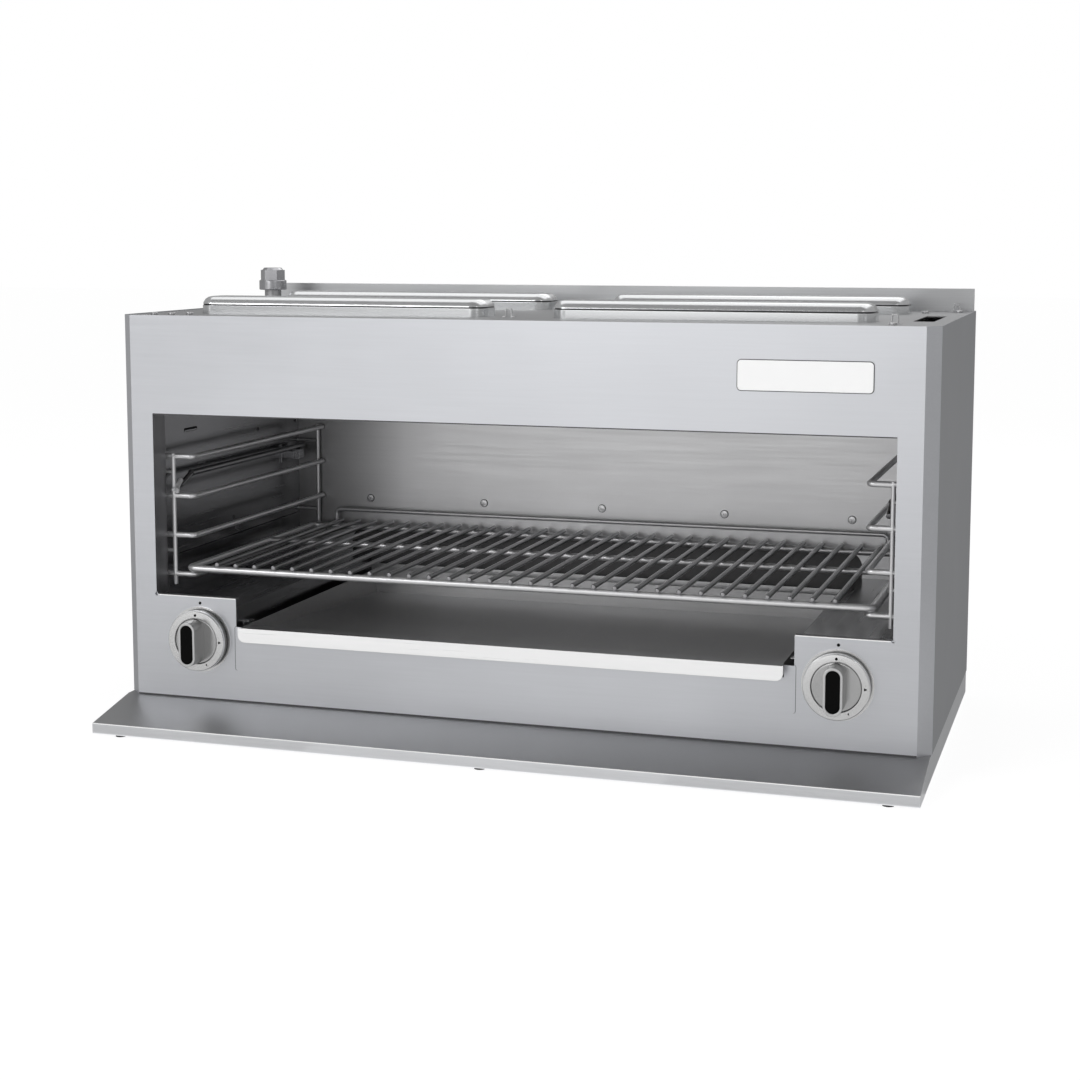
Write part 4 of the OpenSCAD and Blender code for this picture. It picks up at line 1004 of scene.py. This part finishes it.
# Strips of painted shade along the base's seam, the opening's top edge and the bays' seams.
for name, (half, height, width) in (("base_seam_painted_shade", BASE_SEAM), ("opening_top_painted_shade", OPENING_TOP)):
    chain = [on_face(-half, height), on_face(half, height)]
    strip(name, chain, (0, 0, width), SEAM_THICK, "dark_edge")
for side, sign in SIDES:
    chain = [on_face(sign * across, height) for across, height in BAY_SEAM]
    strip(side + "_bay_seam_painted_shade", chain, (-sign * BAY_SEAM_WIDTH, 0, 0), BAY_SEAM_THICK, "dark_edge")
    # A bright strip along each shoulder's top edge: a painted highlight.
    chain = [on_face(sign * across, height) for across, height in SHOULDER]
    strip(side + "_shoulder_painted_highlight", chain, (0, 0, SHOULDER_WIDTH), SHOULDER_THICK, "fold_painted_highlight")
print("four seams, two bright folds")

# %% [markdown]
# Beside each end of the tray's lip a short tongue of the face stands up from the cut-out's
# edge, so the lip has steel behind its rounded ends.

# %% Stand the tongues beside the tray lip
TONGUE = ((306.3, 317.4), (72.6, 85.7))
TONGUE_THICK = 1.4
TONGUE_BEHIND = 0.75
TONGUE_EDGE = 0.4

(inner, outer), (foot, top) = TONGUE
for side, sign in SIDES:
    chain = [on_face(sign * inner, height, -TONGUE_BEHIND) for height in (foot, top)]
    strip(
        side + "_lip_tongue", chain, (sign * (outer - inner), 0, 0), TONGUE_THICK,
        "brushed_stainless", rounded=TONGUE_EDGE,
    )
print("two tongues")

# %% [markdown]
# Each side liner has a pressed slot with a small edge under it, a bent tab, three rivets and
# a line where its lower part is folded. They are dark, because the burners shade them.

# %% A helper that gives a place on a side liner
LINER_X = -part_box("left_liner")[1].x / MM


def on_liner(sign, depth, height, off=0.0):
    """A point on a side liner, from millimetres: behind the face, above its foot, off the wall."""
    point = on_face(sign * (LINER_X - off), height)
    return point + Vector((0, depth * MM, 0))


print("liners", round(2 * LINER_X, 1), "mm apart")

# %% Press the slots and set the rivets of the liners
SLOT = [(78.6, 298.6), (80.0, 300.2), (109.0, 300.2), (110.5, 298.6)]
SLOT_EDGE = [(80.0, 300.2 - 4.0), (109.0, 300.2 - 4.0)]
FOLD_LINE = [(59.9, 155.3), (388.0, 158.3)]
TAB = [(205.0, 168.0, 0.0), (205.0, 162.5, 0.0), (205.0, 160.5, 5.0)]
LINER_STRIPS = {
    "_liner_slot": (SLOT, (0, 0, -2.6), 0.3, "deep_shadow", 0.0),
    "_liner_slot_edge": (SLOT_EDGE, (0, 0, -1.0), 0.6, "shaded_return", 0.0),
    "_liner_fold": (FOLD_LINE, (0, 0, -0.9), 0.5, "deep_shadow", 0.0),
    "_liner_tab": (TAB, (0, 9.0, 0), 1.0, "shaded_return", 0.2),
}
RIVET = [(0, 0), (2.2, 0), (2.2, 0.5), (1.6, 0.9), (0, 1.0)]
RIVET_STEPS = 20
RIVETS = [(272.7, 280.3), (383.0, 281.4), (201.7, 177.5)]

for side, sign in SIDES:
    for piece, (places, across, thick, look, rounded) in LINER_STRIPS.items():
        chain = [on_liner(sign, *place) for place in places]
        strip(side + piece, chain, across, thick, look, "liner_steel", rounded)
    for number, place in enumerate(RIVETS, 1):
        turn = (0, -90 * sign, 0)
        rivet = face_outwards(lathe(RIVET, RIVET_STEPS), on_liner(sign, *place), turn)
        soften(rivet, 0)
        settle(rivet, f"{side}_liner_rivet_{number}", "cabinet", "liner_steel", "dark_edge")
print("each liner:", len(LINER_STRIPS), "strips and", len(RIVETS), "rivets")

# %% [markdown]
# The left pilot's tube ends in a small flared nozzle that leans down and to the front. It is
# the one bright spot on the dark liner; the right one is hidden in the photograph.

# %% Flare the left pilot nozzle
NOZZLE = [
    (1.6, 0), (2.7, 0), (2.7, 11.0), (3.2, 13.0), (4.6, 16.4), (5.0, 17.6), (4.4, 17.8),
    (2.8, 14.0), (1.6, 11.5), (1.6, 0),
]
NOZZLE_STEPS = 28
NOZZLE_LEAN = 129
NOZZLE_INSIDE = 2 * MM

low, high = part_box("left_pilot_tube")
end = Vector(((low.x + high.x) / 2, low.y + NOZZLE_INSIDE, (low.z + high.z) / 2))
nozzle = face_outwards(lathe(NOZZLE, NOZZLE_STEPS), end, (NOZZLE_LEAN, 0, 0))
soften(nozzle, 0, angle=30)
settle(nozzle, "left_pilot_nozzle", "cabinet", "liner_steel", "plated_wire")
print("nozzle at", [round(c / MM) for c in end])

# %% [markdown]
# ## Screws and clips
# Pan-head screws hold the rear liner. Each has a small dark washer and a cross recess, which
# at this size is a dimple.

# %% Turn the screws of the rear liner
WASHER = [(3.0, 0), (5.2, 0), (5.2, 0.4), (3.0, 0.4), (3.0, 0)]
HEAD = [(0, 0.3), (4.5, 0.3), (4.6, 1.0), (4.2, 1.5), (1.3, 1.7), (1.0, 1.1), (0, 1.1)]
SCREW_STEPS = 32
SCREW_PLACES = (-317.0, -158.5, 0.0, 158.5, 317.0)

low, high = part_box("rear_liner_screws")
wall_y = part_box("rear_liner")[0].y
screw_z = (low.z + high.z) / 2
for number, across in enumerate(SCREW_PLACES, 1):
    point = Vector((across * MM, wall_y, screw_z))
    washer = face_outwards(lathe(WASHER, SCREW_STEPS), point)
    settle(washer, f"rear_liner_washer_{number}", "cabinet", "bright_fasteners", "dark_edge")
    head = face_outwards(lathe(HEAD, SCREW_STEPS), point)
    soften(head, 0, angle=20)
    settle(head, f"rear_liner_screw_{number}", "cabinet", "bright_fasteners")
    if number == 1:
        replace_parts(head, "rear_liner_screws")
print("rear liner at y", round(wall_y, 4), "screws at z", round(screw_z, 4))

# %% [markdown]
# The long window low in the rear liner looks into the flue, which lies in shade. A dark sheet
# of painted shade just in front of the back panel fills what can be seen of it.

# %% Paint the shade of the flue behind the window
FLUE_SHADE_PATCH = ((-352, 338), (86, 80))
FLUE_GAP = 0.5
FLUE_THICK = 0.6

(left, right), (foot, tall) = FLUE_SHADE_PATCH
flue_depth = (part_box("back_panel")[0].y - face_y) / MM - FLUE_GAP
chain = [on_face(left, foot, -flue_depth), on_face(right, foot, -flue_depth)]
strip("flue_shade_sheet", chain, (0, 0, tall), FLUE_THICK, "flue_painted_shade", "liner_steel")
print("flue lined at", round(flue_depth, 1), "mm behind the face")

# %% [markdown]
# Four small clips stand on the top panel. Each is a narrow strip bent up, across and down
# again, with a short foot at each end.

# %% Bend the clips on the top
CLIP = [(0, 0.4), (3.5, 0.4), (4.2, 9.4), (9.8, 9.4), (10.5, 0.4), (14.0, 0.4)]
CLIP_HALF = 7
CLIP_WIDTH = 6.0
CLIP_THICK = 0.8
CLIP_EDGE = 0.2
CLIP_PLACES = {
    "front": (-26.0, 99.6),
    "rear": (-88.8, 316.0),
    "right_front": (404.0, 64.0),
    "right_rear": (436.0, 386.0),
}

top_height = (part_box("top_panel")[1].z - face_bottom) / MM
for where, (across, depth) in CLIP_PLACES.items():
    chain = [on_face(across + x - CLIP_HALF, top_height + z, -depth) for x, z in CLIP]
    strip(
        where + "_top_clip", chain, (0, CLIP_WIDTH, 0), CLIP_THICK,
        "bright_fasteners", "bright_fasteners", CLIP_EDGE,
    )
print("top at", round(top_height, 1), "mm,", len(CLIP_PLACES), "clips")

# %% [markdown]
# ## Nameplate
# The white plate is left blank. Its edge is darker than its face: it is the plate's side,
# with a painted shade round it.

# %% Cut the nameplate and its edge
PLATE_ROUND = 0.3
PLATE_EDGE = 0.8
PLATE_CORNER = 4.6
PLATE_THICK = 0.9

low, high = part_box("nameplate")
remodel("nameplate", "nameplate_face", PLATE_ROUND)
bpy.ops.object.select_all(action="DESELECT")
bpy.ops.mesh.primitive_plane_add(size=1)
edge = bpy.context.object
edge.scale = ((high.x - low.x) + 2 * PLATE_EDGE * MM, (high.z - low.z) + 2 * PLATE_EDGE * MM, 1)
bpy.ops.object.transform_apply(location=False, rotation=False, scale=True)
edit(edge)
bpy.ops.mesh.bevel(offset=PLATE_CORNER * MM, segments=6, affect="VERTICES")
pull_face(PLATE_THICK)
close_mesh()
face_outwards(edge, Vector(((low.x + high.x) / 2, face_y, (low.z + high.z) / 2)))
soften(edge, 0)
settle(edge, "nameplate_edge", "cabinet", "white_plate", "dark_edge")
print("nameplate", round((high.x - low.x) / MM, 1), "mm wide")

# %% [markdown]
# ## Gas inlet, bezels and pilots
# The coupling and its plug are castings with rounded edges. The thin bezels behind the dials
# and the screws of the top panel are turned, and the pilots' hoods are small castings too.

# %% Round the castings and the turned nodes
TURNED = {"inlet_coupling": 1.2, "inlet_plug": 1.0, "knob_bezels": 0.0, "top_panel_screws": 0.5}
HOOD_EDGE = 0.4

for node, width in TURNED.items():
    remodel(node, node + "_turned", width, segments=3, angle=ROD_ANGLE)
for side, _ in SIDES:
    remodel(side + "_pilot_burner", side + "_pilot_hood", HOOD_EDGE)
print(len(TURNED), "turned nodes and two hoods")

# %% [markdown]
# ## End

# %% Finish
print("scene dressed")
